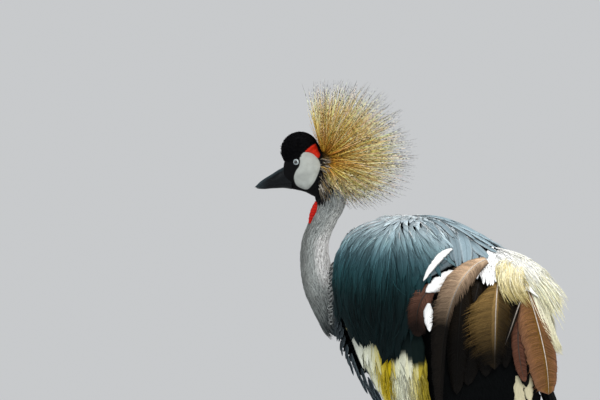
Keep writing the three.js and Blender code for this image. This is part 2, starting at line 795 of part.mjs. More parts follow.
function flightSolid(side) {
  const core = slab(side, 18, 150, 6, [
    row(0.39, -18, -34),
    row(0.5, -14, -28),
    row(0.6, -11, -20),
  ]);
  const surface = wingSurface(side);
  const feathers = vaneRow(surface, 6, 23, (share, noise, i) => ({
    root: [mix(34, 132, share), 0.5],
    bend: [mix(38, 158, share), 0.74],
    tip: [mix(40, 178, share), mix(0.97, 1, share) + 0.015 * noise()],
    wide: 36,
    depth: -12.8 - (i % 2) * 1.6,
    sunk: -17,
    rings: 4,
  }));
  return joined([core, ...feathers]);
}

function plumeSolid(side) {
  const core = slab(side, 130, 202, 4, [
    row(0, 3.4, -18),
    row(0.05, 3.4, -18),
    row(0.105, 3.4, -14),
  ]);
  const surface = wingSurface(side);
  const plumes = vaneRow(surface, 7, 29, (share, noise, i) => ({
    root: [mix(134, 194, share), 0.07],
    bend: [mix(156, 216, share), mix(0.24, 0.08, share)],
    tip: [mix(172, 238, share) + 3 * noise(), mix(0.46, 0.1, share)],
    wide: 19,
    depth: 5.2 + (i % 2) * 1.6,
    sunk: 0,
    rings: 4,
  }));
  return joined([core, ...plumes]);
}

// Tail: a narrow fan of black feathers that hangs from the rump between the wings.

const TAIL = { x: 158, z: 556, long: 186, fall: 1.16, deep: 9, feathers: 7, droop: 0.006 };

// The tail's surface is a low roof: u runs down the tail from the rump, v across it, and d outwards.
function tailSurface() {
  const along = new THREE.Vector3(Math.cos(TAIL.fall), 0, -Math.sin(TAIL.fall));
  const side = new THREE.Vector3(0, 1, 0);
  const rise = new THREE.Vector3().crossVectors(along, side).negate();
  const root = new THREE.Vector3(TAIL.x - 26, 0, TAIL.z + 8);
  const at = (u, v, d) => {
    const height = d - TAIL.droop * v * v;
    return root.clone().addScaledVector(along, u).addScaledVector(side, v).addScaledVector(rise, height);
  };
  return {
    at,
    step: [1, 1],
    along,
    side,
    rise,
    root,
  };
}

function tailSolid() {
  const surface = tailSurface();
  const { along, side, rise, root } = surface;
  const rings = [0, 0.2, 0.42].map((share) => {
    const centre = root.clone().addScaledVector(along, share * (TAIL.long + 26));
    const deep = mix(TAIL.deep, 3, share * 2);
    return ring(centre, side, rise, mix(14, 19, share), deep, deep, 12, 2.6);
  });
  const stump = loft(rings, root, root.clone().addScaledVector(along, 0.46 * TAIL.long));
  const feathers = vaneRow(surface, TAIL.feathers, 31, (share) => {
    const across = mix(-1, 1, share);
    const middle = 1 - across * across;
    return {
      root: [30, across * 7],
      bend: [110, across * 15],
      tip: [TAIL.long + 26 + 6 * middle, across * 25],
      wide: 20,
      depth: mix(-2.4, 2.4, middle),
      sunk: 0,
      rings: 4,
    };
  });
  return joined([stump, ...feathers]);
}

// Legs: a feathered thigh and shank, a bare ankle joint, a long straight tarsus, and four toes on the floor.

const LEG = {
  hip: [4, 44, 436],
  knee: [2, 50, 372],
  ankle: [22, 48, 222],
  foot: [4, 46, 12],
};
const legAt = (side, [x, y, z]) => new THREE.Vector3(x, side * y, z);

function tube(path, radii, sides) {
  const rings = path.map((p, i) => {
    const before = path[Math.max(i - 1, 0)];
    const after = path[Math.min(i + 1, path.length - 1)];
    const tangent = after.clone().sub(before).normalize();
    const reference = Math.abs(tangent.y) > 0.9 ? new THREE.Vector3(0, 0, 1) : new THREE.Vector3(0, 1, 0);
    const side = reference.addScaledVector(tangent, -reference.dot(tangent)).normalize();
    const rise = new THREE.Vector3().crossVectors(side, tangent);
    const [across, up] = Array.isArray(radii[i]) ? radii[i] : [radii[i], radii[i]];
    return ring(p, side, rise, across, up, up, sides);
  });
  return loft(rings, path[0].clone(), path[path.length - 1].clone());
}

function shankSolid(side) {
  const knee = legAt(side, LEG.knee);
  const ankle = legAt(side, LEG.ankle);
  const at = (t) => knee.clone().lerp(ankle, t);
  return tube(
    [legAt(side, LEG.hip), knee, at(0.25), at(0.5), at(0.62), at(0.8), at(0.95)],
    [34, 29, 21, 13, 8, 7, 7.6],
    12,
  );
}

function tarsusSolid(side) {
  const ankle = legAt(side, LEG.ankle);
  const foot = legAt(side, LEG.foot);
  const at = (t) => ankle.clone().lerp(foot, t);
  const above = legAt(side, LEG.knee).lerp(ankle, 0.9525);
  return tube(
    [above, at(0.0), at(0.06), at(0.14), at(0.5), at(0.85), at(0.95)],
    [[7.6, 8.6], [9.6, 11.4], [8.2, 9.8], [6, 7], [5.4, 6.2], [5.8, 6.6], [7, 7.4]],
    12,
  );
}

const TOES = [
  { turn: 0, long: 84, joints: 4 },
  { turn: 31, long: 68, joints: 4 },
  { turn: -32, long: 62, joints: 3 },
  { turn: 176, long: 36, joints: 2 },
];
const TOE_RADIUS = 5.6;
const CLAW_LONG = 13;

function toePath(side, toe, from, to, count) {
  const angle = THREE.MathUtils.degToRad(toe.turn * side);
  const ahead = new THREE.Vector3(-Math.cos(angle), -Math.sin(angle), 0);
  const start = legAt(side, LEG.foot).setZ(0);
  const points = [];
  for (let i = 0; i < count; i += 1) {
    const reach = mix(from, to, i / (count - 1));
    const share = reach / toe.long;
    const height = mix(8.5, 3.4, Math.min(share * 1.2, 1));
    points.push(start.clone().addScaledVector(ahead, reach).setZ(height));
  }
  return points;
}

function floorCut(solid) {
  return solid.trimByPlane([0, 0, 1], 0);
}

function footSolid(side) {
  const pieces = TOES.map((toe) => {
    const count = toe.joints * 2 - 1;
    const path = toePath(side, toe, 0, toe.long, count);
    const radii = path.map((p, i) => mix(TOE_RADIUS, 3.9, i / (count - 1)) * (i % 2 ? 0.88 : 1.06));
    return tube(path, radii, 6);
  });
  const foot = legAt(side, LEG.foot);
  const ankle = legAt(side, LEG.ankle);
  const stub = tube([foot.clone().lerp(ankle, 0.046), foot.clone(), foot.clone().setZ(4)], [7, 8.4, 7.5], 12);
  return floorCut(joined([...pieces, stub]));
}

function clawSolid(side, toe) {
  const start = toe.long + 2 * GAP;
  const path = toePath(side, toe, start, start + CLAW_LONG, 4);
  path.forEach((p, i) => p.setZ([3.2, 3.4, 2.8, 1.4][i]));
  return floorCut(tube(path, [3, 2.6, 1.8, 0.6], 5));
}

// Whether a bristle that bends through these points stays clear of the neck once it has left the pad.
function clearOfNeck(stations) {
  const spare = 3;
  const line = NECK_LINE.getPoints(40);
  return [0.35, 0.5, 0.65, 0.8, 0.9, 1].every((share) => {
    const point = stations[0].clone().lerp(stations[2], share);
    return line.every((p, i) => p.distanceTo(point) > NECK_DEPTH(i / 40) + spare);
  });
}

// The whole bird.

const crane = new THREE.Group();
const torso = torsoSolid(0);
const torsoGrown = torsoSolid(GAP);
const head = headMass(0);
const headGrown = headMass(GAP);
const billGrown = joined([billHalf(true, GAP), billHalf(false, GAP)]);
const neckGrown = neckSolid([...LOWER_NECK, ...UPPER_NECK.slice(1)], GAP);
const add = (name, solid, material) => crane.add(meshOf(name, solid, material));

add("torso", torso, MATERIALS.slate);
add("neck_lower", neckSolid(LOWER_NECK).subtract(torsoGrown), MATERIALS.neckGrey);
const eyes = Object.values(SIDES).map((side) => eyeSolid(side, GAP, 12, 8));
const cheeks = Object.values(SIDES).flatMap((side) => [padSolid(CHEEK, -side), padSolid(RED_LOBE, -side)]);
const lids = Object.values(SIDES).map((side) => lidSolid(side));
const headWhole = joined([head, ...cheeks, ...lids]).subtract(joined([...eyes, billGrown]));
add("neck_upper", neckSolid(UPPER_NECK).subtract(headGrown), MATERIALS.neckGrey);
add("head", headWhole, MATERIALS.velvet);
add("bill_upper", billHalf(true, 0).subtract(joined([nostrilSolid(1), nostrilSolid(-1)])), MATERIALS.bill);
add("bill_lower", billHalf(false, 0), MATERIALS.bill);
add("wattle", wattleSolid().subtract(joined([headGrown, neckGrown])), MATERIALS.redSkin);
add("crest", crestSolid(clearOfNeck).subtract(joined([headGrown, neckGrown])), MATERIALS.crestGold);
for (const [name, side] of Object.entries(SIDES)) {
  add(`eye_${name}`, eyeSolid(-side, 0, 12, 8), MATERIALS.iris);
  const around = joined([torsoGrown, neckGrown]);
  add(`wing_${name}_mantle`, mantleSolid(side).subtract(around), MATERIALS.slate);
  add(`wing_${name}_coverts`, covertSolid(side).subtract(around), MATERIALS.white);
  add(`wing_${name}_tertials`, tertialSolid(side).subtract(around), MATERIALS.chestnut);
  add(`wing_${name}_flight`, flightSolid(side).subtract(around), MATERIALS.black);
  add(`wing_${name}_plumes`, plumeSolid(side).subtract(around), MATERIALS.straw);
  add(`shank_${name}`, shankSolid(side).subtract(torsoGrown), MATERIALS.slate);
  add(`tarsus_${name}`, tarsusSolid(side), MATERIALS.legSkin);
  add(`foot_${name}`, footSolid(side), MATERIALS.legSkin);
  TOES.forEach((toe, i) => add(`claw_${name}_${i + 1}`, clawSolid(side, toe), MATERIALS.bill));
}
add("tail", tailSolid().subtract(torsoGrown), MATERIALS.black);

// The origin goes under the middle of the whole bird, on the floor.
const box = new THREE.Box3().setFromObject(crane);
const middle = box.getCenter(new THREE.Vector3());
crane.position.set(-middle.x, -middle.y, 0);

const part = new THREE.Group();
part.add(crane);
export default part;
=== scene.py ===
"""The looks of a grey crowned crane, a still life-size model of a standing bird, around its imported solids.
Sizes are in millimetres in the bird's own frame, as in the solids: -X is the way it faces and -Y its left
side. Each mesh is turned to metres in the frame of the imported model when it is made."""

import bpy
import numpy as np
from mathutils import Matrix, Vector


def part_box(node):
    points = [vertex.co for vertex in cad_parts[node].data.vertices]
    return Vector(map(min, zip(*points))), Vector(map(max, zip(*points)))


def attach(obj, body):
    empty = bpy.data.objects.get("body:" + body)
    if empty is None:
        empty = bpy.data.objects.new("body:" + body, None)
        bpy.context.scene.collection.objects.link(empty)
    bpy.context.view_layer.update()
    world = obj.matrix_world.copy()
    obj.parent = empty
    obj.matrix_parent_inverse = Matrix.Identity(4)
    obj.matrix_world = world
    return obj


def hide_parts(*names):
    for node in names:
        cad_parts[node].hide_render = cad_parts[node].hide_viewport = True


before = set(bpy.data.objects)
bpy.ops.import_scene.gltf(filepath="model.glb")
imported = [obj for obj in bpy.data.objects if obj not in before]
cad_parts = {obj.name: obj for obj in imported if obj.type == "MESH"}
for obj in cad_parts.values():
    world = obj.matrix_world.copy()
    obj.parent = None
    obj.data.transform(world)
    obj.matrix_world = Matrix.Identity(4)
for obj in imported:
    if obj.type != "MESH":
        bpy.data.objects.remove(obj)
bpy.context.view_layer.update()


# Skin.
# The bird's own surface without a seam: body, neck, thighs and skull under their feathers, bare cheeks, red
# lobes, lids, and scaly legs and toes, grown round the forms below at a finer grain on head and legs.

MM = 0.001
TORSO_FRONT_X = -168
torso_low, torso_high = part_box("torso")
BIRD = np.array([torso_low.x - TORSO_FRONT_X * MM, (torso_low.y + torso_high.y) / 2, 0])

# Stations of the torso: x, top, bottom and half width.
TORSO = [(-160, 612, 492, 34), (-145, 635, 462, 54), (-120, 656, 430, 74), (-80, 669, 404, 90),
         (-30, 672, 390, 98), (20, 668, 392, 96), (70, 650, 408, 85), (115, 624, 438, 66),
         (148, 602, 470, 45), (168, 586, 500, 26)]
TORSO_POLES = [(TORSO_FRONT_X, 0, 550), (178, 0, 546)]
TORSO_FULLNESS = 2.3

# Stations up the middle line of the neck: x, y, z and radius.
NECK = [(-102, 0, 512, 48), (-149, 0, 516, 43), (-171, 0, 536, 39), (-193, -2, 570, 32),
        (-201, -4, 608, 27.5), (-199, -5, 639, 25), (-190, -5, 665, 23.5), (-179, -5, 690, 24.5),
        (-173, -6, 712, 28), (-177, -9, 736, 29), (-189, -13, 759, 26)]
NECK_WIDTH_SHARE = 0.84

HEAD_TURN = np.radians(22)
HEAD_CENTRE = np.array([-212.0, -22.0, 767.0])
HEAD_FORWARD = np.array([-np.cos(HEAD_TURN), -np.sin(HEAD_TURN), 0])
HEAD_UP = np.array([0.0, 0.0, 1.0])
HEAD_LEFT = np.cross(HEAD_UP, HEAD_FORWARD)
# Stations of the skull: how far forward, top, bottom and half width.
SKULL = [(-57, -8, -46, 11), (-50, 8, -56, 20), (-40, 22, -60, 24.5), (-28, 31, -60, 27),
         (-14, 35, -54, 27.5), (0, 36, -47, 26), (12, 34, -44, 23), (22, 29, -42, 18), (30, 18, -40, 13.5),
         (35, 2, -36, 10)]
SKULL_POLES = [(-61, -28), (38, -18)]
CUSHION = {"a": 8, "b": 22.8, "long": 32.5, "high": 32.2, "wide": 23.5}
EYE = {"a": 13.4, "b": 5, "out": 16.6, "radius": 6.6, "look_ahead": 0.32}
LID = {"long": 5.2, "high": 6.7, "thick": 1.7, "sink": 0.42}
CHEEK = [(0.7, 21.3), (8.2, 13.1), (8.0, 5.7), (9.8, -2.6), (14.8, -9.8), (18, -20.3), (15.7, -30.8),
         (9.8, -37), (-1.6, -41), (-8.2, -37), (-16.4, -25.6), (-23.9, -7.7), (-25, 1.6), (-20.8, 11),
         (-12.5, 18.4)]
RED_LOBE = [(0, 22.4), (-6, 28), (-12.5, 32.8), (-17.7, 34.4), (-20, 29), (-21.6, 23.6), (-24.6, 17.4),
            (-21.3, 11.5), (-12.5, 18.8), (-6, 21)]

LEG = {"hip": (4, 44, 436), "knee": (2, 50, 372), "ankle": (22, 48, 222), "foot": (4, 46, 12)}
SHANK_STATIONS = [(-0.42, 34), (0, 29), (0.25, 21), (0.5, 13), (0.62, 8), (0.8, 7), (0.97, 7.6)]
TARSUS_STATIONS = [(-0.03, 7.6, 8.6), (0, 9.6, 11.4), (0.06, 8.2, 9.8), (0.14, 6, 7), (0.5, 5.4, 6.2),
                   (0.85, 5.8, 6.6), (0.97, 7, 7.4)]
TOES = [(0, 84, 4), (31, 68, 4), (-32, 62, 3), (176, 36, 2)]
TOE_RADII = (5.6, 3.9)
TOE_HEIGHTS = (8.5, 3.4)
STUB_RADII = np.array([7, 8.4, 7.5])
COAT_DEPTH = {"torso": 5.5, "neck": 3.2, "shank": 3.0, "skull": 1.2}
SKIN_GRAIN = {"body": 3.6, "head": 1.0, "legs": 1.2}
SKIN_TINTS = {
    "slate": (0.022, 0.032, 0.037), "neck": (0.30, 0.29, 0.28), "velvet": (0.0025, 0.0025, 0.003),
    "crest": (0.16, 0.085, 0.02), "cheek": (0.39, 0.41, 0.385), "lobe": (0.52, 0.020, 0.006),
    "leg": (0.016, 0.016, 0.018),
}


def unit(vectors):
    """Each vector divided by its length."""
    return vectors / np.maximum(np.linalg.norm(vectors, axis=-1, keepdims=True), 1e-9)


def smooth(low, high, value):
    """0 below low, 1 above high, and 3t^2 - 2t^3 between them, with t the share of the way."""
    t = np.clip((value - low) / (high - low), 0, 1)
    return t * t * (3 - 2 * t)


def square_to(ways, axis):
    """Each way less its part along the axis."""
    return ways - axis * np.sum(ways * axis, -1, keepdims=True)


def toward(tint, goal, share):
    """Colours moved from tint to goal by a share, one for each point."""
    return tint + np.asarray(share)[..., None] * (np.asarray(goal) - tint)


def full_turn(count):
    """Angles spread evenly round a circle."""
    return np.linspace(0, 2 * np.pi, count, endpoint=False)


def curve_through(rows):
    """A smooth curve through rows of (station, values): a cubic between two stations, whose slope at each
    one is that of the line between its neighbours."""
    rows = np.array(rows, float)
    at, values = rows[:, 0], rows[:, 1:]
    order = np.arange(len(at))
    before, after = np.maximum(order - 1, 0), np.minimum(order + 1, len(at) - 1)
    slope = (values[after] - values[before]) / (at[after] - at[before])[:, None]

    def read(station):
        station = np.clip(np.asarray(station, float), at[0], at[-1])
        i = np.clip(np.searchsorted(at, station, side="right") - 1, 0, len(at) - 2)
        span = (at[i + 1] - at[i])[..., None]
        t = (station - at[i])[..., None] / span
        found = (values[i] * (2 * t**3 - 3 * t**2 + 1) + slope[i] * span * (t**3 - 2 * t**2 + t)
                 + values[i + 1] * (3 * t**2 - 2 * t**3) + slope[i + 1] * span * (t**3 - t**2))
        return found[..., 0] if values.shape[1] == 1 else found

    return read


def stacked(*parts):
    """Coordinates put together on a last axis, each spread to the common shape."""
    return np.stack(np.broadcast_arrays(*parts), -1).astype(float)


torso_shape = curve_through(TORSO)
neck_shape = curve_through([(i / (len(NECK) - 1), *station) for i, station in enumerate(NECK)])
skull_shape = curve_through(SKULL)


def torso_at(x, angle, grow=0.0):
    """Torso: at each x a ring of half width by half height, whose corners are filled by a power above 2."""
    top, bottom, half = np.moveaxis(torso_shape(x), -1, 0)
    c, s = np.cos(angle), np.sin(angle)
    power = 2 / TORSO_FULLNESS
    across = np.sign(c) * np.abs(c) ** power * (half + grow)
    rise = np.sign(s) * np.abs(s) ** power * ((top - bottom) / 2 + grow)
    return stacked(x, across, (top + bottom) / 2 + rise)


def neck_at(t, angle, grow=0.0):
    """Neck: a ring square to its line at share t, with angle 0 on its right and 90 degrees at its rear."""
    here = neck_shape(t)
    tangent = unit(neck_shape(t + 0.01)[..., :3] - neck_shape(t - 0.01)[..., :3])
    turn = HEAD_TURN * smooth(0.5, 1, t)
    across = stacked(-np.sin(turn), np.cos(turn), 0 * turn)
    side = unit(square_to(across, tangent))
    rise = np.cross(side, tangent)
    depth = here[..., 3:] + grow
    return (here[..., :3] + side * depth * NECK_WIDTH_SHARE * np.cos(angle)[..., None]
            + rise * depth * np.sin(angle)[..., None])


def head_point(a, b, c):
    """A place on the head, from its middle: a forwards, b up and c to the bird's left."""
    spread = stacked(a, b, c)
    return HEAD_CENTRE + spread @ np.stack([HEAD_FORWARD, HEAD_UP, HEAD_LEFT])


def head_place(points):
    """The a, b and c of points."""
    return (points - HEAD_CENTRE) @ np.stack([HEAD_FORWARD, HEAD_UP, HEAD_LEFT]).T


def skull_at(a, angle, grow=0.0):
    """Skull: at each a an oval ring of half width by half height."""
    top, bottom, half = np.moveaxis(skull_shape(a), -1, 0)
    rise = (top - bottom) / 2 + grow
    return head_point(a, (top + bottom) / 2 + rise * np.sin(angle), (half + grow) * np.cos(angle))


def cushion_at(latitude, longitude, grow=0.0):
    """Forehead cushion: an ellipsoid, by latitude from its front pole and longitude round its long axis."""
    along, around = (CUSHION["long"] + grow) * np.cos(latitude), np.sin(latitude)
    high, wide = CUSHION["high"] + grow, CUSHION["wide"] + grow
    return head_point(CUSHION["a"] + along, CUSHION["b"] + high * around * np.sin(longitude),
                      wide * around * np.cos(longitude))


def leg_point(side, name):
    """A joint of the leg on one side."""
    x, y, z = LEG[name]
    return np.array([x, side * y, z], float)


def tube(path, across, deep, around):
    """Rings along a path: at each point an oval square to it, its first half width across the bird."""
    tangent = unit(np.gradient(path, axis=0))
    side = np.array([0.0, 1.0, 0.0]) - tangent * tangent[:, 1:2]
    level = np.abs(tangent[:, 1:2]) > 0.9
    side = unit(np.where(level, np.cross(tangent, [0.0, 0.0, 1.0]), side))
    rise = np.cross(side, tangent)
    angle = full_turn(around)[None, :, None]
    return (path[:, None] + side[:, None] * np.cos(angle) * across[:, None, None]
            + rise[:, None] * np.sin(angle) * deep[:, None, None])


def facing_out(points, faces):
    """The faces of a closed surface, turned round if they enclose less than nothing."""
    volume = 0.0
    for group in faces:
        for k in range(1, group.shape[1] - 1):
            a, b, c = points[group[:, 0]], points[group[:, k]], points[group[:, k + 1]]
            volume += np.sum(a * np.cross(b, c))
    return [group[:, ::-1] for group in faces] if volume < 0 else faces


def ring_quads(rows, around):
    """The faces between neighbouring rings of a tube, each ring with around points."""
    i, j = np.arange(rows - 1)[:, None] * around, np.arange(around)
    k = (j + 1) % around
    return np.stack([i + j, i + k, i + around + k, i + around + j], -1).reshape(-1, 4)


def loft(rings, start, end):
    """A closed surface over rings of points (row, place round the ring), each end drawn in to a point."""
    rows, around = rings.shape[:2]
    points = np.concatenate([rings.reshape(-1, 3), [start], [end]])
    j = np.arange(around)
    k = (j + 1) % around
    first, last = rows * around, (rows - 1) * around
    caps = np.concatenate([np.stack([np.full(around, first), k, j], -1),
                           np.stack([np.full(around, first + 1), last + j, last + k], -1)])
    return points, facing_out(points, [ring_quads(rows, around), caps])


def mesh_object(name, points, faces):
    """A smooth object of points, in millimetres of the bird, and of faces, as arrays with one face a row."""
    mesh = bpy.data.meshes.new(name)
    mesh.vertices.add(len(points))
    mesh.vertices.foreach_set("co", (points * MM + BIRD).astype(np.float32).ravel())
    corners = np.concatenate([group.ravel() for group in faces])
    counts = np.concatenate([np.full(len(group), group.shape[1]) for group in faces])
    mesh.loops.add(len(corners))
    mesh.loops.foreach_set("vertex_index", corners.astype(np.int32))
    mesh.polygons.add(len(counts))
    mesh.polygons.foreach_set("loop_start", np.concatenate([[0], np.cumsum(counts)[:-1]]).astype(np.int32))
    mesh.polygons.foreach_set("use_smooth", np.ones(len(counts), bool))
    mesh.update(calc_edges=True)
    mesh.validate()
    piece = bpy.data.objects.new(name, mesh)
    bpy.context.scene.collection.objects.link(piece)
    return piece


def set_attribute(piece, name, kind, values):
    """A point attribute of the piece's mesh, as a number or a colour for each point."""
    attribute = piece.data.attributes.new(name, kind, "POINT")
    field = "color" if kind == "FLOAT_COLOR" else "value"
    attribute.data.foreach_set(field, np.ascontiguousarray(values, np.float32).ravel())


def set_tints(piece, tints):
    """The piece's own colours, one for each point."""
    set_attribute(piece, "tint", "FLOAT_COLOR", np.column_stack([tints, np.ones(len(tints))]))


def read_whole(items, field):
    """A whole number of each of a mesh's items."""
    found = np.zeros(len(items), np.int32)
    items.foreach_get(field, found)
    return found


def read_points(mesh):
    """The points of a mesh, in millimetres of the bird."""
    flat = np.zeros(len(mesh.vertices) * 3, np.float32)
    mesh.vertices.foreach_get("co", flat)
    return (flat.reshape(-1, 3).astype(float) - BIRD) / MM


def write_points(mesh, points):
    """Moves the points of a mesh to these places."""
    mesh.vertices.foreach_set("co", (points * MM + BIRD).astype(np.float32).ravel())
    mesh.update()


def applied(piece):
    """The piece with its modifiers applied to its mesh."""
    bpy.context.view_layer.update()
    graph = bpy.context.evaluated_depsgraph_get()
    mesh = bpy.data.meshes.new_from_object(piece.evaluated_get(graph))
    piece.modifiers.clear()
    piece.data = mesh
    return piece


def grown_round(name, forms, grain, smoothing):
    """One closed surface round closed forms that overlap: cubes of the grain's size, then smoothed."""
    offsets = np.cumsum([0] + [len(points) for points, _ in forms])
    points = np.concatenate([points for points, _ in forms])
    faces = [group + offset for (_, groups), offset in zip(forms, offsets) for group in groups]
    piece = mesh_object(name, points, faces)
    remesh = piece.modifiers.new("grain", "REMESH")
    remesh.mode = "VOXEL"
    remesh.voxel_size = grain * MM
    remesh.use_smooth_shade = True
    soften = piece.modifiers.new("soften", "SMOOTH")
    soften.factor = 0.5
    soften.iterations = smoothing
    return applied(piece)


def closed_surface(surface, first, last, around, rows, poles, grow):
    """A surface of two parameters as a closed form, with a pole at each end moved out or in by grow."""
    u = np.linspace(first, last, rows)[:, None]
    v = full_turn(around)[None]
    rings = surface(u, v, grow)
    middle = rings.mean(axis=1)
    ends = [pole + unit(pole - middle[row]) * grow for pole, row in zip(poles, (0, -1))]
    return loft(rings, *ends)


def body_forms():
    """Torso, neck and both thighs, each thinner than its solid by the depth of its coat."""
    torso = closed_surface(torso_at, TORSO[0][0], TORSO[-1][0], 48, 60, np.array(TORSO_POLES, float),
                           -COAT_DEPTH["torso"])
    neck_ends = np.array([neck_shape(0.0)[:3], neck_shape(1.0)[:3]])
    neck = closed_surface(neck_at, 0.0, 1.0, 32, 80, neck_ends, -COAT_DEPTH["neck"])
    forms = [torso, neck]
    for side in (-1, 1):
        knee, ankle = leg_point(side, "knee"), leg_point(side, "ankle")
        share, radius = np.array(SHANK_STATIONS).T
        path = knee + share[:, None] * (ankle - knee)
        path[0] = leg_point(side, "hip")
        radius = radius - COAT_DEPTH["shank"] * smooth(7.5, 14, radius)
        forms.append(loft(tube(path, radius, radius, 24), path[0], path[-1]))
    return forms


def eye_gaze(side):
    """The way an eye looks: outwards and a little ahead."""
    return unit(HEAD_LEFT * side + HEAD_FORWARD * EYE["look_ahead"])


def eye_centre(side):
    """The middle of an eye, with side 1 for the bird's left eye."""
    return head_point(EYE["a"], EYE["b"], side * EYE["out"])


def lid_form(side):
    """Lids: an oval ring round the eye, a little in front of its middle."""
    gaze = eye_gaze(side)
    ahead = unit(np.cross(HEAD_UP, gaze))
    turn = full_turn(40)[:, None, None]
    roll = full_turn(12)[None, :, None]
    radial = ahead * np.cos(turn) * LID["long"] + HEAD_UP * np.sin(turn) * LID["high"]
    spoke = unit(radial)
    centre = eye_centre(side) + gaze * EYE["radius"] * LID["sink"]
    points = centre + radial + (spoke * np.cos(roll) + gaze * np.sin(roll)) * LID["thick"]
    i, j = np.arange(40)[:, None] * 12, np.arange(12)
    quads = np.stack([i + j, (i + 12) % 480 + j, (i + 12) % 480 + (j + 1) % 12, i + (j + 1) % 12], -1)
    points = points.reshape(-1, 3)
    return points, facing_out(points - centre, [quads.reshape(-1, 4)])


def head_forms():
    """Skull, cushion and lids."""
    poles = np.array([head_point(a, b, 0) for a, b in SKULL_POLES])
    skull = closed_surface(skull_at, SKULL[0][0], SKULL[-1][0], 48, 60, poles, -COAT_DEPTH["skull"])
    low, high = 0.06, np.pi - 0.06
    poles = np.array([head_point(CUSHION["a"] + way * CUSHION["long"], CUSHION["b"], 0) for way in (1, -1)])
    cushion = closed_surface(cushion_at, low, high, 48, 40, poles, -COAT_DEPTH["skull"])
    return [skull, cushion, lid_form(1), lid_form(-1)]


SCUTE = {"long": 5.2, "proud": 0.55, "toe_long": 3.6}


def leg_forms():
    """Tarsi with plate-like scutes down the front, and toes with a pad under each joint."""
    forms = []
    for side in (-1, 1):
        ankle, foot = leg_point(side, "ankle"), leg_point(side, "foot")
        share = np.linspace(-0.03, 0.97, 170)
        across, deep = curve_through(TARSUS_STATIONS)(share).T
        path = ankle + share[:, None] * (foot - ankle)
        rings = tube(path, across, deep, 32)
        step = share * np.linalg.norm(foot - ankle) / SCUTE["long"]
        plate = (1 - (2 * (step % 1) - 1) ** 4) * SCUTE["proud"]
        front = smooth(0.1, 0.7, -np.sin(full_turn(32)))
        rings += unit(rings - path[:, None]) * (plate[:, None] * front[None])[..., None]
        forms.append(loft(rings, path[0], path[-1]))
        stub = np.array([foot + 0.046 * (ankle - foot), foot, [foot[0], foot[1], 3.6]])
        forms.append(loft(tube(stub, STUB_RADII, STUB_RADII, 20), stub[0], stub[-1]))
        for turn, long, joints in TOES:
            angle = np.radians(turn * side)
            ahead = np.array([-np.cos(angle), -np.sin(angle), 0])
            reach = np.linspace(0, long, 60)
            radius = np.interp(reach, [0, long], TOE_RADII)
            radius = radius * (1 + 0.1 * np.cos(reach / long * joints * 2 * np.pi))
            radius = radius + 0.3 * (1 - (2 * (reach / SCUTE["toe_long"] % 1) - 1) ** 4)
            path = np.array([foot[0], foot[1], 0]) + reach[:, None] * ahead
            path[:, 2] = np.interp(np.minimum(reach / long * 1.2, 1), [0, 1], TOE_HEIGHTS)
            forms.append(loft(tube(path, radius, radius, 16), path[0], path[-1]))
    return forms


def outline_depth(outline, a, b):
    """How far places (a, b) lie inside a closed outline, or outside it as a number below 0."""
    count = len(outline)
    at = np.linspace(0, count, 6 * count)
    line = curve_through([(i, *outline[i % count]) for i in range(-2, count + 3)])(at)
    start, step = line[:-1], np.diff(line, axis=0)
    from_start = stacked(a, b)[..., None, :] - start
    share = np.clip(np.sum(from_start * step, -1) / np.maximum(np.sum(step * step, -1), 1e-9), 0, 1)
    nearest = np.linalg.norm(from_start - share[..., None] * step, axis=-1).min(-1)
    above = (start[:, 1] > b[..., None]) != (line[1:, 1] > b[..., None])
    rise = np.where(np.abs(step[:, 1]) < 1e-9, 1e-9, step[:, 1])
    crossing = start[:, 0] + (b[..., None] - start[:, 1]) / rise * step[:, 0]
    inside = (above & (a[..., None] < crossing)).sum(-1) % 2 == 1
    return np.where(inside, nearest, -nearest)


def shape_face(points):
    """The head's points, with cheek pads and red lobes raised by how far each lies inside its outline."""
    a, b, c = head_place(points).T
    out = np.sign(c)[:, None] * HEAD_LEFT
    flank = smooth(6, 14, np.abs(c))
    cheek = smooth(-0.5, 4, outline_depth(CHEEK, a, b)) * 1.5
    lobe = smooth(-0.5, 3, outline_depth(RED_LOBE, a, b)) * 2.4
    return points + out * ((cheek + lobe) * flank)[:, None]


body = grown_round("skin", body_forms(), SKIN_GRAIN["body"], 4)
head = grown_round("skin_head", head_forms(), SKIN_GRAIN["head"], 3)
write_points(head.data, shape_face(read_points(head.data)))
legs = grown_round("skin_legs", leg_forms(), SKIN_GRAIN["legs"], 1)
leg_points = read_points(legs.data)
leg_points[:, 2] = np.maximum(leg_points[:, 2], 0)
write_points(legs.data, leg_points)
for name, other in (("join_head", head), ("join_legs", legs)):
    union = body.modifiers.new(name, "BOOLEAN")
    union.operation = "UNION"
    union.solver = "MANIFOLD"
    union.object = other
skin = applied(body)
bpy.data.objects.remove(head)
bpy.data.objects.remove(legs)


